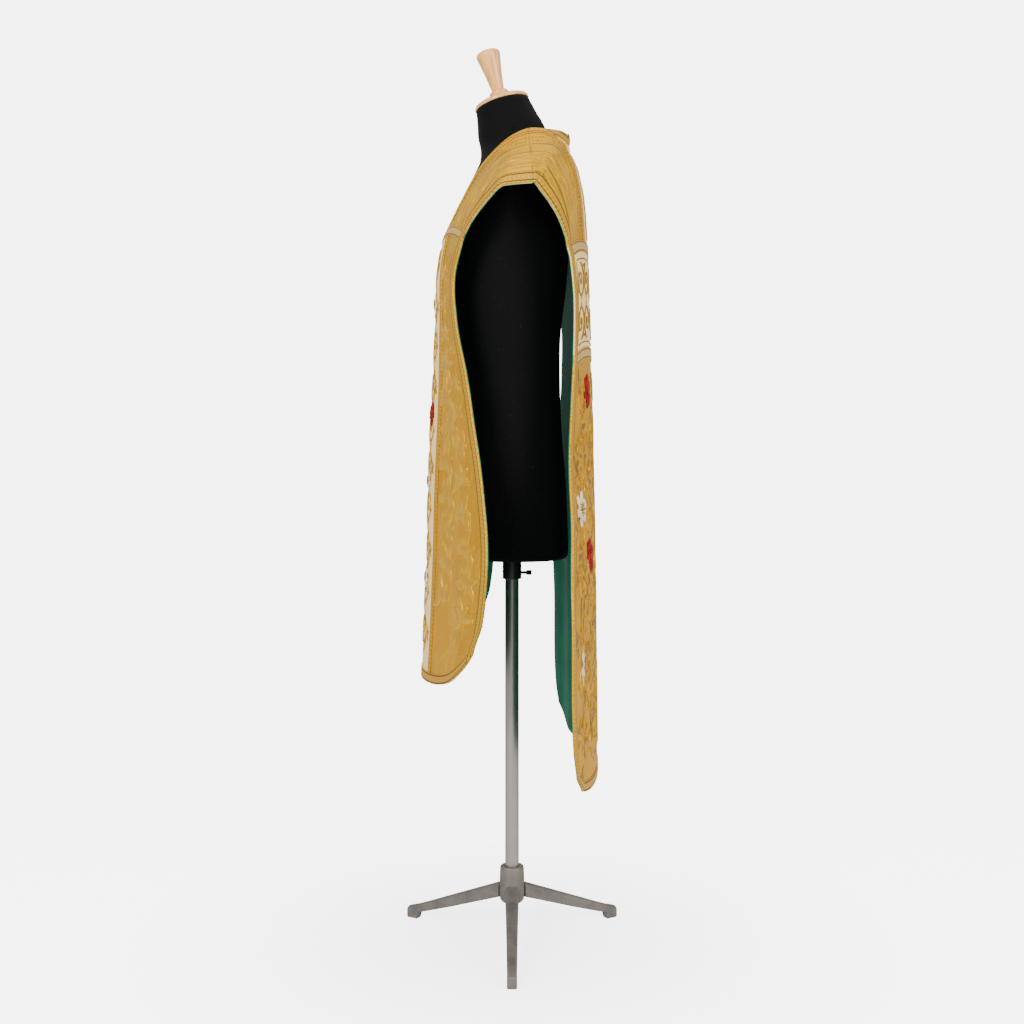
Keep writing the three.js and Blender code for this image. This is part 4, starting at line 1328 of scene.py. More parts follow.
# ---------- Needlework ----------
class Needlework:
    """Raised embroidery, worked flat and then laid on the cloth."""

    SIDES = 8

    def __init__(self, cloth: ClothFace, seed: int) -> None:
        """Start a piece of needlework on one half of the garment.

        Args:
            cloth: Front or back.
            seed: Seed of its random draws.
        """
        self.cloth = cloth
        self.bm = bmesh.new()
        self.random = random.Random(seed)

    def stroke(self, path: np.ndarray, widths: np.ndarray, height: float, base: float = 0.0) -> None:
        """Work one raised stroke.

        Args:
            path: An (n, 2) array of across and down.
            widths: Half width at each point of the path.
            height: How far its middle stands up.
            base: Height of its underside off the cloth.
        """
        count = len(path) - 1
        tangent = np.gradient(path, axis=0)
        tangent /= np.maximum(np.linalg.norm(tangent, axis=1, keepdims=True), 1e-9)
        normal = np.stack([-tangent[:, 1], tangent[:, 0]], axis=1)
        widest = max(float(widths.max()), 1e-9)
        for vert, u, v in unit_grid(self.bm, count, self.SIDES):
            k = int(round(u * count))
            angle = 2 * math.pi * (v % 1.0)
            off = widths[k] * math.cos(angle)
            rise = math.sin(angle) * (widths[k] / widest) ** 0.7
            lift = base + (height * rise if rise > 0 else 0.35 * MM * rise)
            vert.co = (path[k, 0] + normal[k, 0] * off, path[k, 1] + normal[k, 1] * off, lift)

    def leaf(
        self, root: tuple[float, float], heading: float, length: float, curl: float, width: float,
        height: float = 1.1 * MM,
    ) -> None:
        """Work a pointed leaf that leaves root in a heading and curls as it goes.

        Args:
            root: Where it starts, as across and down.
            heading: The way it sets out.
            length: Its length.
            curl: How far it turns.
            width: Its half width.
            height: How far it stands up.
        """
        t = np.linspace(0.0, 1.0, 8)
        angle = heading + curl * t
        step = length / 7
        xs = root[0] + np.concatenate([[0.0], np.cumsum(np.cos(angle[:-1]) * step)])
        ys = root[1] + np.concatenate([[0.0], np.cumsum(np.sin(angle[:-1]) * step)])
        widths = width * np.sin(np.pi * np.clip(t * 1.02, 0, 1)) ** 0.8 * (1.15 - 0.5 * t)
        widths[0] = widths[-1] = 0.0
        self.stroke(np.stack([xs, ys], axis=1), widths, height)

    def volute(
        self, eye: tuple[float, float], radius: float, start: float, turns: float, hand: int, width: float
    ) -> None:
        """Work a scroll that winds in to its eye, with leaves along its back.

        Args:
            eye: Its middle, as across and down.
            radius: Its radius.
            start: The angle that it sets out from.
            turns: Number of turns.
            hand: 1 or -1, the way it winds.
            width: Half width of its stem.
        """
        t = np.linspace(0.0, 1.0, 30)
        reach = radius * (1.0 - 0.78 * t)
        angle = start + hand * 2 * math.pi * turns * t
        path = np.stack([eye[0] + reach * np.cos(angle), eye[1] + reach * np.sin(angle)], axis=1)
        widths = width * (1.0 - 0.35 * t)
        widths[0] = widths[-1] = 0.0
        self.stroke(path, widths, 1.8 * MM)
        for share in (0.08, 0.2, 0.32, 0.45, 0.6):
            k = int(share * 29)
            out = angle[k] + hand * self.random.uniform(0.5, 0.9)
            size = radius * self.random.uniform(0.42, 0.6) * (1.0 - 0.5 * share)
            self.leaf(tuple(path[k]), out, size, hand * 0.9, size * 0.23)
        for petal in range(5):
            heading = petal * 2 * math.pi / 5 + start
            self.leaf(eye, heading, radius * 0.24, 0.3, radius * 0.07)

    def vine(
        self, top: float, bottom: float, middle: Callable[[float], float], sway: Callable[[float], float],
        waves: float, sign: int, width: float,
    ) -> None:
        """Work a waving stem with a scroll in each of its bends.

        Args:
            top: Distance down of its top.
            bottom: Distance down of its foot.
            middle: Gives its middle line across at a distance down.
            sway: Gives how far it sways from that line.
            waves: Number of whole waves.
            sign: 1 for the wearer's left and -1 for the right.
            width: Half width of the stem.
        """
        count = int(waves * 26)
        t = np.linspace(0.0, 1.0, count)
        down = bottom + (top - bottom) * t
        phase = 2 * math.pi * waves * t
        across = np.array([sign * (middle(d) + sway(d) * math.sin(p)) for d, p in zip(down, phase)])
        path = np.stack([across, down], axis=1)
        widths = np.full(count, width)
        widths[0] = widths[-1] = 0.0
        self.stroke(path, widths, 1.8 * MM)
        for bend in range(int(waves * 2)):
            share = (bend + 0.5) / (waves * 2)
            k = min(int(share * (count - 1)), count - 1)
            inward = -sign if bend % 2 == 0 else sign
            reach = sway(down[k]) * 1.15
            eye = (across[k] + inward * reach * 1.05, down[k] - reach * 0.35)
            start = math.pi if inward > 0 else 0.0
            self.volute(eye, reach, start, 1.35, inward * -1, width * 0.95)
            back_heading = math.pi if inward > 0 else 0.0
            for lean in (-0.9, -0.35, 0.4):
                size = reach * self.random.uniform(0.55, 0.8)
                self.leaf(tuple(path[k]), back_heading + lean, size, lean * 0.7, size * 0.2)

    def line(self, points: Sequence[tuple[float, float]], width: float, step: float = 6 * MM) -> None:
        """Couch a cord along straight stretches between points.

        Args:
            points: The points, as across and down.
            width: Its half width.
            step: Distance between its stitches.
        """
        chain = np.array(points, dtype=float)
        for a, b in zip(chain, chain[1:]):
            count = max(int(np.linalg.norm(b - a) / step), 2)
            t = np.linspace(0.0, 1.0, count + 1)[:, None]
            widths = np.full(count + 1, width)
            widths[0] = widths[-1] = 0.0
            self.stroke(a + (b - a) * t, widths, 1.3 * MM)

    def bloom(
        self, centre: tuple[float, float], radius: float, petals: int, turn: float, base: float, full: float
    ) -> None:
        """Work one ring of petals.

        Args:
            centre: Its middle, as across and down.
            radius: Its radius.
            petals: Number of petals.
            turn: Angle of the first petal.
            base: Height of its underside off the cloth.
            full: A petal's half width as a share of its length.
        """
        for petal in range(petals):
            heading = turn + petal * 2 * math.pi / petals
            t = np.linspace(0.0, 1.0, 8)
            xs = centre[0] + radius * t * math.cos(heading)
            ys = centre[1] + radius * t * math.sin(heading)
            swell = np.sin(np.pi * np.clip(0.06 + 0.86 * t, 0, 1)) ** 0.6
            widths = radius * full * swell * (0.45 + 0.55 * t)
            widths[0] = widths[-1] = 0.0
            self.stroke(np.stack([xs, ys], axis=1), widths, 1.6 * MM, base)

    def knots(self, centre: tuple[float, float], radius: float, count: int, base: float) -> None:
        """Work a cluster of round knots.

        Args:
            centre: Its middle, as across and down.
            radius: Its radius.
            count: Number of knots.
            base: Height of its underside off the cloth.
        """
        for knot in range(count):
            reach = radius * math.sqrt((knot + 0.5) / count)
            angle = knot * 2.4
            x = centre[0] + reach * math.cos(angle)
            y = centre[1] + reach * math.sin(angle)
            t = np.linspace(-1.0, 1.0, 5)
            widths = 1.3 * MM * np.sqrt(np.clip(1.0 - t * t, 0.0, 1.0))
            self.stroke(np.stack([x + 1.3 * MM * t, np.full(5, y)], axis=1), widths, 1.5 * MM, base)

    def finish(self, name: str, finish: Finish) -> bpy.types.Object:
        """Close the strokes, lay the work on the cloth and dress it.

        Args:
            name: The piece's name.
            finish: Its thread.

        Returns:
            The laid piece.
        """
        bmesh.ops.remove_doubles(self.bm, verts=self.bm.verts, dist=1e-6)
        obj = finish_mesh(name, self.bm, finish)
        mesh = obj.data
        flat = np.empty(len(mesh.vertices) * 3, dtype=np.float32)
        mesh.vertices.foreach_get("co", flat)
        flat = flat.reshape(-1, 3).astype(float)
        mesh.vertices.foreach_set("co", self.cloth.drape(flat).astype(np.float32).ravel())
        write_chart(mesh, flat[:, :2])
        outward_skin(mesh)
        return obj


def outward_skin(mesh: bpy.types.Mesh) -> None:
    """Turn every closed shell of a mesh to face out."""
    bm = bmesh.new()
    bm.from_mesh(mesh)
    bmesh.ops.recalc_face_normals(bm, faces=bm.faces)
    bm.to_mesh(mesh)
    bm.free()
    mesh.update()


# ---------- The garment ----------
@dataclass
class Chasuble:
    """The lined and braided chasuble.

    Attributes:
        body: The body that the garment rides on.
        grain: Length of a panel's facets.
        lining_grain: Length of a lining's facets.
        lining_lift: How far a lining lies off the cloth.
        braid_lift: How far a braid's top lies off the cloth.
    """

    body: str = "form"
    grain: float = 4 * MM
    lining_grain: float = 7 * MM
    lining_lift: float = -(BROCADE + SEAM_GAP)
    braid_lift: float = SEAM_GAP + GALLOON

    @staticmethod
    def cells(length: float, grain: float) -> int:
        """Return how many facets of a grain a length takes."""
        return max(int(round(length / grain)), 2)

    def panel(
        self, name: str, cloth: ClothFace, place: Callable, size: tuple[float, float], finish: Finish,
        lining: bool = False,
    ) -> bpy.types.Object:
        """Args:
            name: Its name, which is also its node's name.
            cloth: Front or back.
            place: Its borders.
            size: Its width and length when flat.
            finish: Its finish.
            lining: Whether it is lining.

        Returns:
            The piece.
        """
        grain = self.lining_grain if lining else self.grain
        piece = Patch(
            f"{name}_cloth", cloth, place, self.cells(size[0], grain), self.cells(size[1], grain), finish,
            LINING if lining else BROCADE, self.lining_lift if lining else 0.0,
        ).build()
        register(piece, finish, self.body, [name])
        area = surface_area(piece)
        flat = (max(size[0], area / size[1]), size[1])
        return piece

    def braid(
        self, name: str, cloth: ClothFace, place: Callable, length: float, finish: Finish = GALLOON_GOLD
    ) -> bpy.types.Object:
        """Make one length of braid over its CAD strip.

        Args:
            name: The CAD strip that it stands for.
            cloth: Front or back.
            place: Gives its places from shares across and along.
            length: Its length.
            finish: The finish.

        Returns:
            The piece.
        """
        piece = Patch(
            f"{name}_woven", cloth, place, 6, self.cells(length, self.grain), finish, GALLOON,
            self.braid_lift, strip=True,
        ).build()
        register(piece, finish, self.body, [name])
        return piece

    def shoulders(self) -> None:
        """Make the four shoulder pieces with their lining and inner braids."""
        for word, sign in (("left", 1), ("right", -1)):
            for cloth, end in ((FRONT, FRONT_BAR[0]), (BACK, BACK_BAR_UPPER[0])):
                half = cloth.side.name.lower()
                place = Cut.shoulder(cloth, sign, 0.0, end, "panel")
                size = (0.15, end)
                self.panel(f"{half}_shoulder_{word}", cloth, place, size, GOLD_BROCADE)
                self.panel(f"lining_{half}_shoulder_{word}", cloth, place, size, GREEN_SATIN, True)
            side_end = NECK_CORNER_DOWN + NECK_BRAID
            strips = (
                (f"neck_braid_front_{word}", FRONT, 0.0, FRONT_BAR[0]),
                (f"neck_braid_side_{word}", BACK, 0.0, side_end),
                (f"back_column_braid_{word}", BACK, side_end, BACK_BAR_UPPER[0]),
            )
            for name, cloth, begin, end in strips:
                self.braid(name, cloth, Cut.shoulder(cloth, sign, begin, end, "inner"), end - begin)

    def hanging_panels(self) -> None:
        """Make the hanging panels of the front and the back, with their lining."""
        column_end = BACK_BAR_UPPER[0]
        column_size = (0.19, column_end - NECK_CORNER_DOWN)
        self.panel("back_column", BACK, Cut.back_column(False), column_size, CREAM_SILK)
        self.panel("lining_back_column", BACK, Cut.back_column(False), column_size, GREEN_SATIN, True)
        begin = FRONT_BAR[0]
        length = FRONT.hem - begin
        middle = Cut.centre(FRONT, begin, FRONT.hem, COLUMN_HALF)
        self.panel("front_column", FRONT, middle, (2 * COLUMN_HALF, length), CREAM_SILK)
        for word, sign in (("left", 1), ("right", -1)):
            place = Cut.hanging(FRONT, begin, FRONT.hem, COLUMN_HALF, sign)
            self.panel(f"front_wing_{word}", FRONT, place, (0.19, length), GOLD_BROCADE)
        whole = Cut.hanging(FRONT, begin, FRONT.hem, None, 1)
        self.panel("lining_front", FRONT, whole, (0.62, length), GREEN_SATIN, True)
        upper, lower = BACK_BAR_UPPER[0], BACK_BAR_LOWER[0]
        arm = Cut.hanging(BACK, upper, lower, None, 1)
        self.panel("back_cross_arm", BACK, arm, (0.45, lower - upper), CREAM_SILK)
        skirt = Cut.hanging(BACK, lower, BACK.hem, None, 1)
        self.panel("back_lower", BACK, skirt, (0.678, BACK.hem - lower), GOLD_BROCADE)
        inside = Cut.hanging(BACK, upper, BACK.hem, None, 1)
        self.panel("lining_back", BACK, inside, (0.678, BACK.hem - upper), GREEN_SATIN, True)

    def braids(self) -> None:
        """Make the bar, hem, column and edge braids."""
        neck = self.braid("neck_braid_back", BACK, self.swapped(Cut.back_column(True)), 0.2)
        LOG.info("back neck braid: %s", neck.name)
        bars = (
            ("front_bar_braid", FRONT, *FRONT_BAR, GALLOON_STRAW),
            ("front_hem_braid", FRONT, FRONT.hem - EDGE_BRAID, FRONT.hem, GALLOON_GOLD),
            ("back_bar_braid_upper", BACK, *BACK_BAR_UPPER, GALLOON_STRAW),
            ("back_bar_braid_lower", BACK, *BACK_BAR_LOWER, GALLOON_STRAW),
            ("back_hem_braid", BACK, BACK.hem - EDGE_BRAID, BACK.hem, GALLOON_GOLD),
        )
        for name, cloth, begin, end, finish in bars:
            self.braid(name, cloth, Cut.bar(cloth, begin, end), 0.5, finish)
        for word, sign in (("left", 1), ("right", -1)):
            column = Cut.border(
                FRONT, FRONT_BAR[1], FRONT.hem - EDGE_BRAID, sign, COLUMN_HALF, COLUMN_BRAID,
            )
            self.braid(f"front_column_braid_{word}", FRONT, column, 0.72)
            for cloth, turn in ((FRONT, FRONT_BAR[0]), (BACK, BACK_BAR_UPPER[0])):
                name = f"edge_braid_{cloth.side.name.lower()}_{word}"
                self.braid(name, cloth, self.whole_edge(cloth, sign, turn, -EDGE_BRAID), cloth.hem)

    @staticmethod
    def swapped(place: Callable) -> Callable:
        """Return a cut with its two ways changed over."""
        return lambda u, v: place(v, u)

    @staticmethod
    def whole_edge(
        cloth: ClothFace, sign: int, turn: float, off: float, width: float = EDGE_BRAID
    ) -> Callable:
        """Return the places of a strip along the edge from the shoulder seam to the hem.

        Args:
            cloth: Front or back.
            sign: 1 for the wearer's left and -1 for the right.
            turn: Distance down above which it follows the plain edge.
            off: Distance in from the edge, as a negative number.
            width: Its width.

        Returns:
            A function from shares to across and down.
        """
        hanging = Cut.border(cloth, 0.0, cloth.hem, sign, off, width)

        def place(u: np.ndarray, v: np.ndarray) -> tuple[np.ndarray, np.ndarray]:
            """Return the places across and down of shares across and along."""
            down = cloth.hem * v
            across, curled = hanging(u, v)
            upper = sign * (cloth.edge(down) + off + width * u)
            return np.where(down < turn, upper, across), curled

        return place

    def piping(self) -> None:
        """Make the pale green cord sewn round the edge."""
        for word, sign in (("left", 1), ("right", -1)):
            for cloth in (FRONT, BACK):
                work = Needlework(cloth, 3)
                work.SIDES = 8
                v = np.linspace(0.0, 1.0, 220)
                place = self.whole_edge(cloth, sign, 0.2, 0.0, 0.6 * MM)
                across, down = place(np.full_like(v, 0.5), v)
                widths = np.full_like(v, 1.3 * MM)
                widths[0] = widths[-1] = 0.0
                work.stroke(np.stack([across, down], axis=1), widths, 0.5 * MM, -0.9 * MM)
                piece = work.finish(f"edge_piping_{cloth.side.name.lower()}_{word}", EDGE_CORD)
                register(piece, EDGE_CORD, self.body)

    def build(self) -> None:
        """Make the whole garment."""
        self.shoulders()
        self.hanging_panels()
        self.braids()
        self.piping()


@dataclass(frozen=True)
class Bloom:
    """How one kind of flower is worked.

    Attributes:
        rings: Share of the radius and lift in millimetres of each ring of petals.
        full: A petal's half width as a share of its length.
        heart: Radius of the cluster of knots as a share of the flower's.
        knots: Number of knots in the cluster.
    """

    rings: tuple[tuple[float, float], ...]
    full: float
    heart: float
    knots: int


PETALS = 6
HEART_LIFT = 3.2 * MM
ROSE = Bloom(((1.0, 0.6), (0.74, 1.6), (0.48, 2.6)), 0.48, 0.2, 9)
DAISY = Bloom(((1.0, 0.8), (0.68, 1.7)), 0.34, 0.36, 22)


@dataclass(frozen=True)
class Flower:
    """One raised flower.

    Attributes:
        name: The node that it stands for, or its own name.
        cloth: Front or back.
        down: Distance down of its middle.
        across: Distance across of its middle.
        radius: Its radius.
        red: Whether it is a red rose or a white flower.
        node: Whether it stands for a solid of that name.
    """

    name: str
    cloth: ClothFace
    down: float
    across: float
    radius: float
    red: bool
    node: bool = True


BACK_FLOWERS = (
    Flower("back_rose_upper", BACK, 522 * MM, 110 * MM, 30 * MM, True),
    Flower("back_flower_upper", BACK, 710 * MM, 199 * MM, 31 * MM, False),
    Flower("back_rose_lower", BACK, 788 * MM, 152 * MM, 31 * MM, True),
    Flower("back_flower_lower", BACK, 944 * MM, 256 * MM, 32 * MM, False),
)
FRONT_FLOWERS = (
    Flower("front_white_upper", FRONT, 318 * MM, 46 * MM, 19 * MM, False, False),
    Flower("front_rose", FRONT, 500 * MM, 50 * MM, 23 * MM, True, False),
    Flower("front_white_middle", FRONT, 610 * MM, 48 * MM, 19 * MM, False, False),
    Flower("front_white_lower", FRONT, 770 * MM, 46 * MM, 20 * MM, False, False),
)


@dataclass
class Embroidery:
    """The scrolls, leaves and flowers worked on the garment."""

    body: str = "form"

    def flower(self, flower: Flower, word: str, sign: int) -> None:
        """Work one flower on one side of the garment.

        Args:
            flower: The flower.
            word: The side, left or right.
            sign: 1 for the wearer's left and -1 for the right.
        """
        work = Needlework(flower.cloth, 11)
        centre = (sign * flower.across, flower.down)
        kind = ROSE if flower.red else DAISY
        for k, (share, base) in enumerate(kind.rings):
            work.bloom(centre, flower.radius * share, PETALS, 0.5 * k + 0.3, base * MM, kind.full)
        finish = ROSE_SILK if flower.red else WHITE_SILK
        piece = work.finish(f"{flower.name}_{word}_silk", finish)
        register(piece, finish, self.body, [f"{flower.name}_{word}"] if flower.node else ())
        heart = Needlework(flower.cloth, 12)
        heart.knots(centre, flower.radius * kind.heart, kind.knots, HEART_LIFT)
        seed = heart.finish(f"{flower.name}_{word}_heart", BRONZE_THREAD)
        register(seed, BRONZE_THREAD, self.body)

    def lower_back(self) -> None:
        """Work the dense scrolls of the lower back."""

        def share_of(share: float) -> Callable[[float], float]:
            """Return a share of the half width inside the edge braid, at a distance down."""
            return lambda down: share * (float(BACK.edge(np.array([down]))[0]) - 30 * MM)

        for word, sign in (("left", 1), ("right", -1)):
            work = Needlework(BACK, 21)
            work.vine(0.485, 1.10, share_of(0.22), share_of(0.125), 4.5, sign, 2.2 * MM)
            work.vine(0.49, 1.11, share_of(0.52), share_of(0.125), 4.5, sign, 2.2 * MM)
            work.vine(0.50, 1.08, share_of(0.83), share_of(0.115), 4.0, sign, 2.2 * MM)
            register(work.finish(f"back_lower_scrolls_{word}", GOLD_THREAD), GOLD_THREAD, self.body)
            leaves = Needlework(BACK, 22)
            for root in self.scattered(leaves.random, share_of(1.0), 0.49, 1.10, 44 * MM):
                heading = leaves.random.uniform(-math.pi, math.pi)
                for lean in (-0.8, 0.0, 0.8):
                    size = leaves.random.uniform(24, 36) * MM
                    leaves.leaf((sign * root[0], root[1]), heading + lean, size, 1.2 * lean, size * 0.17)
            register(leaves.finish(f"back_lower_leaves_{word}", BRONZE_THREAD), BRONZE_THREAD, self.body)

    @staticmethod
    def scattered(
        dice: random.Random, half: Callable[[float], float], top: float, bottom: float, apart: float
    ) -> list[tuple[float, float]]:
        """Return places spread over half a panel, clear of each other and of its flowers.

        Args:
            dice: The seeded source of chance.
            half: Gives the half width that may be used at a distance down.
            top: Distance down of the first place.
            bottom: Distance down of the last place.
            apart: Least distance between two places.

        Returns:
            The places, as across and down.
        """
        kept: list[tuple[float, float]] = []
        flowers = [(flower.across, flower.down) for flower in BACK_FLOWERS]
        for _ in range(1500):
            down = dice.uniform(top, bottom)
            place = (dice.uniform(0.01, half(down)), down)
            if any(math.dist(place, flower) < 48 * MM for flower in flowers):
                continue
            if all(math.dist(place, other) > apart for other in kept):
                kept.append(place)
        return kept

    def cream_grounds(self) -> None:
        """Work the scrolls and frame lines on the cream column and cross arm."""
        for word, sign in (("left", 1), ("right", -1)):
            arm = Needlework(BACK, 31)
            for k, across in enumerate((40, 100, 160)):
                hand = 1 if k % 2 else -1
                eye = (sign * across * MM, 0.343)
                arm.volute(eye, 30 * MM, -0.5 * math.pi, 1.4, sign * hand, 2.2 * MM)
                eye = (sign * across * MM, 0.405)
                arm.volute(eye, 30 * MM, 0.5 * math.pi, 1.4, -sign * hand, 2.2 * MM)
            inner, outer = 0.308, 0.440
            arm.line([(0.0, inner), (sign * 0.186, inner)], 1.2 * MM)
            arm.line([(0.0, outer), (sign * 0.181, outer)], 1.2 * MM)
            arm.line([(sign * 0.188, inner), (sign * 0.182, outer)], 1.2 * MM)
            register(arm.finish(f"cross_arm_scrolls_{word}", BRONZE_THREAD), BRONZE_THREAD, self.body)
            column = Needlework(BACK, 32)
            column.vine(0.105, 0.272, lambda _: 42 * MM, lambda _: 17 * MM, 2.0, sign, 2.0 * MM)
            register(column.finish(f"back_column_scrolls_{word}", GOLD_THREAD), GOLD_THREAD, self.body)
            front = Needlework(FRONT, 33)
            front.vine(0.222, 0.895, lambda _: 47 * MM, lambda _: 25 * MM, 5.0, sign, 2.4 * MM)
            register(front.finish(f"front_column_scrolls_{word}", GOLD_THREAD), GOLD_THREAD, self.body)

    def woven_leaves(self) -> None:
        """Raise the large woven leaves of the front wings."""
        for word, sign in (("left", 1), ("right", -1)):
            work = Needlework(FRONT, 51)
            for down in np.arange(0.26, 0.83, 0.052):
                wide = float(FRONT.edge(np.array([down]))[0]) - EDGE_BRAID - COLUMN_HALF - COLUMN_BRAID
                for share in (0.22, 0.72):
                    if wide * 0.5 < 34 * MM and share > 0.5:
                        continue
                    middle = COLUMN_HALF + COLUMN_BRAID + wide * share + work.random.uniform(-6, 6) * MM
                    root = (sign * middle, down + 26 * MM * (share > 0.5) + 20 * MM)
                    heading = -0.5 * math.pi + work.random.uniform(-0.5, 0.5)
                    reach = min(0.62 * wide, 62 * MM)
                    for lean in (-1.2, -0.6, 0.0, 0.6, 1.2):
                        size = reach * work.random.uniform(0.6, 0.95) * (1.1 - 0.3 * abs(lean))
                        size = min(size, wide * (1.0 - share), 0.86 - down + 30 * MM)
                        work.leaf(root, heading + lean, size, lean * 1.1 + 0.4, size * 0.25, 0.9 * MM)
            register(work.finish(f"front_wing_leaves_{word}", GOLD_LEAF), GOLD_LEAF, self.body)

    def shoulder_lines(self) -> None:
        """Work the stitched lines that follow the neck over each shoulder."""
        for word, sign in (("left", 1), ("right", -1)):
            for cloth, end in ((FRONT, 0.186), (BACK, 0.272)):
                work = Needlework(cloth, 41)
                for off in (NECK_BRAID + 12 * MM, NECK_BRAID + 16 * MM, NECK_BRAID + 28 * MM):
                    for down in np.arange(0.004, end, 7 * MM):
                        spots = np.linspace(down, down + 6 * MM, 4)
                        across = Cut.shoulder_from(cloth, spots) + off
                        widths = np.array([0.0, 0.8, 0.8, 0.0]) * MM
                        work.stroke(np.stack([sign * across, spots], axis=1), widths, 0.6 * MM)
                name = f"{cloth.side.name.lower()}_shoulder_stitches_{word}"
                register(work.finish(name, BRONZE_THREAD), BRONZE_THREAD, self.body)

    def build(self) -> None:
        """Work all of it."""
        self.lower_back()
        self.cream_grounds()
        self.woven_leaves()
        self.shoulder_lines()
        for word, sign in (("left", 1), ("right", -1)):
            for flower in BACK_FLOWERS + FRONT_FLOWERS:
                self.flower(flower, word, sign)


# ---------- The form ----------
@dataclass
class DressForm:
    """The padded torso with its wooden cap and handle."""

    body: str = "form"
    bore: float = 12.4 * MM
    bore_top: float = 1215 * MM

    def cover(self) -> None:
        """Make the torso and neck in stretched jersey."""
        rows = np.array(TORSO_SECTIONS, dtype=float)
        stations = rows[:, 0]
        heights = np.linspace(stations[0], stations[-1], 150)
        columns = [hermite(stations, rows[:, k], heights) for k in range(1, 6)]

        def skin(u: float, angle: float) -> Vector:
            """Return a point of the skin."""
            k = int(round(u * (len(heights) - 1)))
            width, centre, depth, square, tilt = (column[k] for column in columns)
            lean = math.radians(tilt)
            power = 2.0 / square
            c, s = math.cos(angle), math.sin(angle)
            forward = depth * math.copysign(abs(s) ** power, s)
            return Vector((
                width * math.copysign(abs(c) ** power, c),
                centre + forward * math.cos(lean),
                heights[k] + forward * math.sin(lean),
            )) * MM

        bm = bmesh.new()
        tube(bm, len(heights) - 1, 144, skin)
        bmesh.ops.remove_doubles(bm, verts=bm.verts, dist=1e-7)
        low = [e for e in bm.edges if e.is_boundary and e.verts[0].co.z < 0.7]
        made = bmesh.ops.extrude_edge_only(bm, edges=low)
        rim = [v for v in made["geom"] if isinstance(v, bmesh.types.BMVert)]
        for vert in rim:
            flat = Vector((vert.co.x, vert.co.y, 0.0)).normalized() * self.bore
            vert.co = (flat.x, flat.y, vert.co.z)
        inner = [e for e in made["geom"] if isinstance(e, bmesh.types.BMEdge) and e.is_boundary]
        up = bmesh.ops.extrude_edge_only(bm, edges=inner)
        for vert in (v for v in up["geom"] if isinstance(v, bmesh.types.BMVert)):
            vert.co.z = self.bore_top
        bmesh.ops.holes_fill(bm, edges=[e for e in bm.edges if e.is_boundary], sides=0)
        bmesh.ops.recalc_face_normals(bm, faces=bm.faces)
        cover = finish_mesh("form_cover", bm, BLACK_JERSEY)
        register(cover, BLACK_JERSEY, self.body, ["torso"])
        self.side_seams(skin)

    def side_seams(self, skin: Callable[[float, float], Vector]) -> None:
        """Make the raised seam down each side and the centre of the front and back.

        Args:
            skin: Gives a point of the cover.
        """
        for k, word in enumerate(("left", "back", "right", "front")):
            bm = bmesh.new()
            angle = k * math.pi / 2

            def seam(u: float, turn: float) -> Vector:
                """Return a point of the seam."""
                along = 0.01 + 0.975 * u
                here = skin(along, angle)
                beside = skin(along, angle + 0.01) - skin(along, angle - 0.01)
                beside.normalize()
                above = skin(min(along + 0.01, 1.0), angle) - skin(along - 0.01, angle)
                normal = beside.cross(above).normalized()
                size = 0.0 if u in (0.0, 1.0) else 0.8 * MM
                return here + (beside * math.cos(turn) + normal * math.sin(turn) * 0.45) * size

            tube(bm, 150, 8, seam)
            bmesh.ops.remove_doubles(bm, verts=bm.verts, dist=1e-6)
            bmesh.ops.recalc_face_normals(bm, faces=bm.faces)
            piece = finish_mesh(f"form_seam_{word}", bm, BLACK_JERSEY)
            register(piece, BLACK_JERSEY, self.body)

    def wood(self) -> None:
        """Turn the neck cap, the bead and the handle, and set them on the tilted neck."""
        turnings = (
            ("neck_cap", 0.3, (
                (0, 0), (45, 0), (46.6, 0.8), (47, 2.4), (46.7, 4.8), (45, 6.8), (41, 8.8),
                (36, 10.2), (29, 11.6), (22, 12.6), (16, 13), (0, 13),
            )),
            ("handle_bead", 13.6, (
                (0, 0), (13, 0), (14.6, 0.8), (16.4, 3), (17, 5.8), (16.4, 8.4), (14.6, 10.6),
                (11.5, 12), (0, 12),
            )),
            ("handle", 25.9, (
                (0, 0), (10.4, 0), (10.8, 2), (11.5, 7), (12.7, 16), (14.2, 26), (16, 37),
                (18.2, 49), (20, 58), (20.5, 61.5), (20.2, 64), (19, 66.4), (16.8, 67.8), (13, 68.5),
                (0, 68.5),
            )),
        )
        seat = Matrix.Translation((0.0, *NECK_TOP)) @ Matrix.Rotation(CAP_TILT, 4, "X")
        for name, height, profile in turnings:
            bm = bmesh.new()
            turned(bm, [(radius * MM, z * MM) for radius, z in profile], 72)
            bmesh.ops.transform(
                bm, matrix=seat @ Matrix.Translation((0, 0, height * MM)), verts=bm.verts
            )
            piece = finish_mesh(f"{name}_turned", bm, BEECH)
            rounded(piece, 0.5 * MM)
            register(piece, BEECH, self.body, [name])

    def build(self) -> None:
        """Make the form."""
        self.cover()
        self.wood()


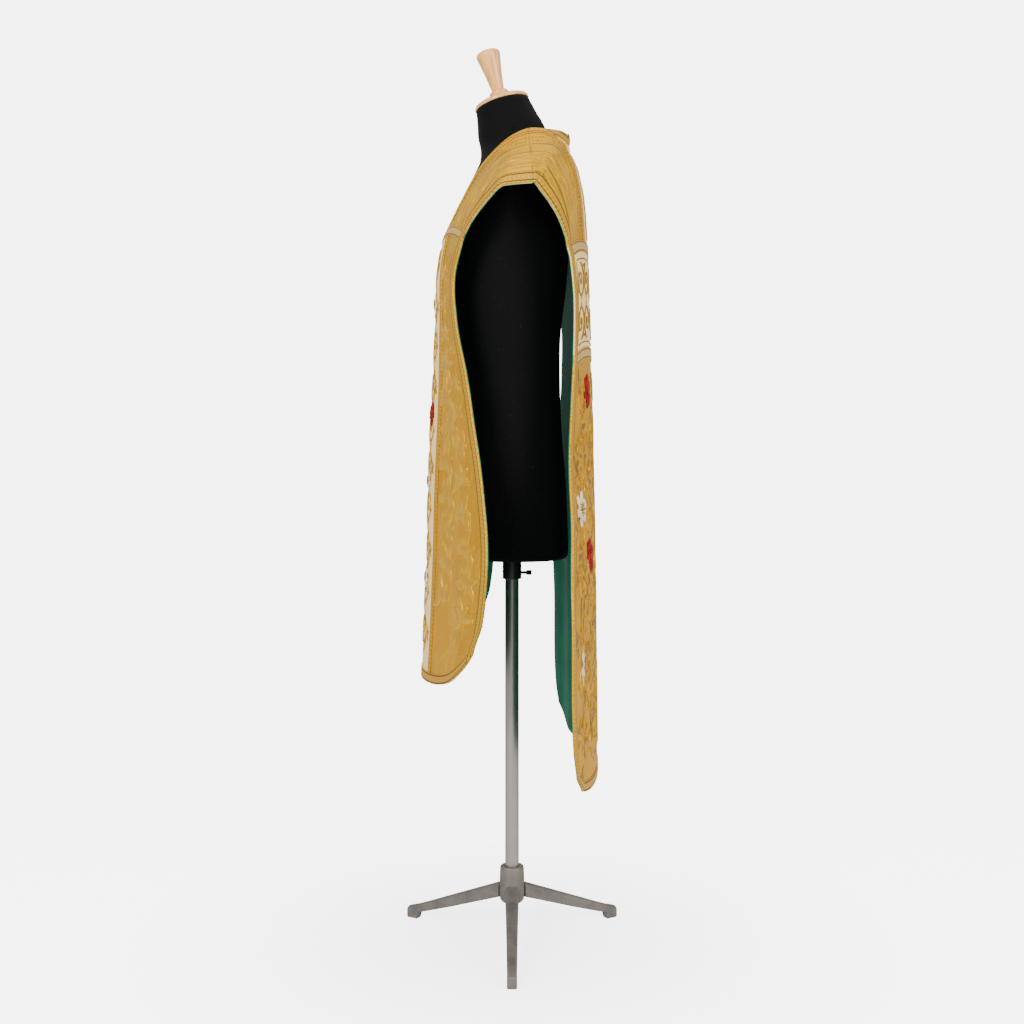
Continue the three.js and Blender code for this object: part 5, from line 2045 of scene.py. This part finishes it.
# ---------- The stand ----------
@dataclass
class Stand:
    """The pole, hub, legs, sliding collar and thumbscrew."""

    # Sections of a leg going out: reach, underside, top and half width, in millimetres.
    leg: tuple[tuple[float, float, float, float], ...] = (
        (20, 69, 94, 11.5),
        (60, 55, 78, 10.5),
        (120, 34, 54, 9.2),
        (172, 17, 33, 8.3),
        (188, 12.5, 27, 8),
        (191.5, 0, 25.6, 8),
        (210, 0, 20, 8),
        (212, 2, 18, 7),
    )

    def turning(self, name: str, profile: Sequence[tuple[float, float]], finish: Finish, body: str) -> None:
        """Make one turned part of the stand.

        Args:
            name: The solid that it stands for.
            profile: Radius and height of each point in millimetres, from the bottom up.
            finish: The finish.
            body: The body that it rides on.
        """
        bm = bmesh.new()
        turned(bm, [(radius * MM, z * MM) for radius, z in profile], 72)
        piece = finish_mesh(f"{name}_turned", bm, finish)
        rounded(piece, 0.6 * MM)
        register(piece, finish, body, [name])

    def legs(self) -> None:
        """Cast the three legs, the first towards the wearer's left."""
        rows = np.array(self.leg) * MM
        for k in range(3):
            bm = bmesh.new()

            def skin(u: float, angle: float) -> Vector:
                """Return a point of the skin."""
                row = rows[int(round(u * (len(rows) - 1)))]
                c, s = math.cos(angle), math.sin(angle)
                middle, half = (row[2] + row[1]) / 2, (row[2] - row[1]) / 2
                square = 0.55 if s > 0 else 0.28
                return Vector((
                    row[0],
                    row[3] * math.copysign(abs(c) ** square, c),
                    middle + half * math.copysign(abs(s) ** square, s),
                ))

            tube(bm, len(rows) - 1, 48, skin)
            bmesh.ops.remove_doubles(bm, verts=bm.verts, dist=1e-6)
            bmesh.ops.holes_fill(bm, edges=[e for e in bm.edges if e.is_boundary], sides=0)
            bmesh.ops.recalc_face_normals(bm, faces=bm.faces)
            turn = Matrix.Rotation(k * 2 * math.pi / 3, 4, "Z")
            bmesh.ops.transform(bm, matrix=turn, verts=bm.verts)
            piece = finish_mesh(f"leg_{k + 1}_cast", bm, CAST_METAL)
            rounded(piece, 0.7 * MM, 2)
            register(piece, CAST_METAL, "stand", [f"leg_{k + 1}"])

    def thumbscrew(self) -> None:
        """Make the screw that clamps the collar, with its flat wing."""
        bm = bmesh.new()
        turned(bm, ((0, 0), (2.5 * MM, 0), (2.5 * MM, 11.8 * MM), (4.2 * MM, 12.4 * MM),
                    (4.2 * MM, 15.8 * MM), (3 * MM, 17 * MM), (0, 17 * MM)), 40)
        lay = Matrix.Translation((0, 12.2 * MM, 621 * MM)) @ Matrix.Rotation(-math.pi / 2, 4, "X")
        bmesh.ops.transform(bm, matrix=lay, verts=bm.verts)
        before = set(bm.verts)
        shape = Matrix.Translation((0, 30 * MM, 621 * MM)) @ Matrix.Rotation(math.radians(30), 4, "Y")
        size = Matrix.Diagonal((12 * MM, 7 * MM, 3.2 * MM, 1.0))
        bmesh.ops.create_cube(bm, size=1.0, matrix=shape @ size)
        wing = [e for e in bm.edges if e.verts[0] not in before and e.verts[1] not in before]
        bmesh.ops.bevel(
            bm, geom=wing, offset=1.1 * MM, segments=4, affect="EDGES", profile=0.5, material=-1,
        )
        piece = finish_mesh("thumbscrew_turned", bm, BLACK_METAL)
        register(piece, BLACK_METAL, "thumbscrew_body", ["thumbscrew"])

    def build(self) -> None:
        """Make the stand."""
        pole = ((0, 66), (11.75, 66), (11.75, 1048), (11.3, 1049.4), (9.75, 1050), (0, 1050))
        self.turning("pole", pole, SATIN_STEEL, "stand")
        hub = (
            (12.05, 124), (18.6, 124), (19.6, 123.2), (20, 122), (20.5, 116), (20.8, 110), (21.2, 82),
            (20.9, 72), (20.2, 67.6), (18, 64.6), (15, 62), (0, 62), (0, 65.7), (12.05, 65.7), (12.05, 124),
        )
        self.turning("hub", hub, CAST_METAL, "stand")
        collar = (
            (12.4, 610), (14.5, 610), (15.6, 610.5), (16, 611.5), (16, 639.7), (20, 641.7), (20, 647.5),
            (12.4, 647.5), (12.4, 610),
        )
        self.turning("socket_collar", collar, BLACK_METAL, "collar")
        self.legs()
        self.thumbscrew()


# ---------- The studio ----------
@dataclass(frozen=True)
class Lamp:
    """One soft square lamp.

    Attributes:
        name: Its name.
        place: Where it hangs.
        size: Length of its side.
        power: Its power in watts.
    """

    name: str
    place: tuple[float, float, float]
    size: float
    power: float


@dataclass
class Studio:
    """The pale floor, the soft lights and the level camera.

    Attributes:
        distance: How far the camera stands from the pole.
        eye: The camera's height.
        lens: Its focal length in millimetres.
        shift: Its vertical shift.
        floor_radius: The floor's radius.
        air: How strongly the air lights the object.
        seen_air: How bright the air looks to the camera.
        aim: The point that every lamp looks at.
        lights: The lamps.
    """

    distance: float = 2.074
    eye: float = 0.778
    lens: float = 42.93
    shift: float = -0.03125
    floor_radius: float = 60.0
    air: float = 0.70
    seen_air: float = 6.0
    aim: tuple[float, float, float] = (0.0, 0.0, 0.8)
    lights: tuple[Lamp, ...] = (
        Lamp("key", (3.1, -1.6, 2.4), 1.3, 150.0),
        Lamp("fill", (2.6, 2.4, 1.8), 1.3, 92.0),
        Lamp("top", (0.0, 0.0, 3.4), 2.0, 20.0),
    )

    def floor(self) -> None:
        """Lay the wide pale floor, which meets the white air at the horizon."""
        bm = bmesh.new()
        bmesh.ops.create_circle(bm, cap_ends=True, segments=96, radius=self.floor_radius)
        finish_mesh("studio_floor", bm, PALE_PAPER)

    def light(self, lamp: Lamp) -> None:
        """Hang one lamp."""
        data = bpy.data.lights.new(lamp.name, "AREA")
        data.size = lamp.size
        data.energy = lamp.power
        hung = bpy.data.objects.new(lamp.name, data)
        hung.location = lamp.place
        gaze = Vector(self.aim) - Vector(lamp.place)
        hung.rotation_euler = gaze.to_track_quat("-Z", "Y").to_euler()
        bpy.context.scene.collection.objects.link(hung)

    def camera(self) -> None:
        """Set the level camera on the wearer's left."""
        data = bpy.data.cameras.new("camera")
        data.sensor_width = 36.0
        data.lens = self.lens
        data.shift_y = self.shift
        camera = bpy.data.objects.new("camera", data)
        camera.location = (self.distance, 0.0, self.eye)
        camera.rotation_euler = (math.pi / 2, 0.0, math.pi / 2)
        bpy.context.scene.collection.objects.link(camera)
        bpy.context.scene.camera = camera

    def build(self) -> None:
        """Set up the studio."""
        self.camera()
        self.floor()
        world = bpy.data.worlds.new("studio_air")
        world.use_nodes = True
        sheet = NodeSheet(world.node_tree)
        air = world.node_tree.nodes["Background"]
        air.inputs["Color"].default_value = (0.98, 0.985, 1.0, 1.0)
        seen = sheet.add("ShaderNodeLightPath").outputs["Is Camera Ray"]
        extra = sheet.math("MULTIPLY", seen, self.seen_air - self.air)
        sheet.feed(air.inputs["Strength"], sheet.math("ADD", extra, self.air))
        bpy.context.scene.world = world
        for lamp in self.lights:
            self.light(lamp)


def main() -> None:
    """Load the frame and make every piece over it."""
    logging.basicConfig(level=logging.INFO, format="%(name)s: %(message)s")
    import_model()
    Studio().build()
    DressForm().build()
    Stand().build()
    Chasuble().build()
    Embroidery().build()


if __name__ == "__main__":
    main()
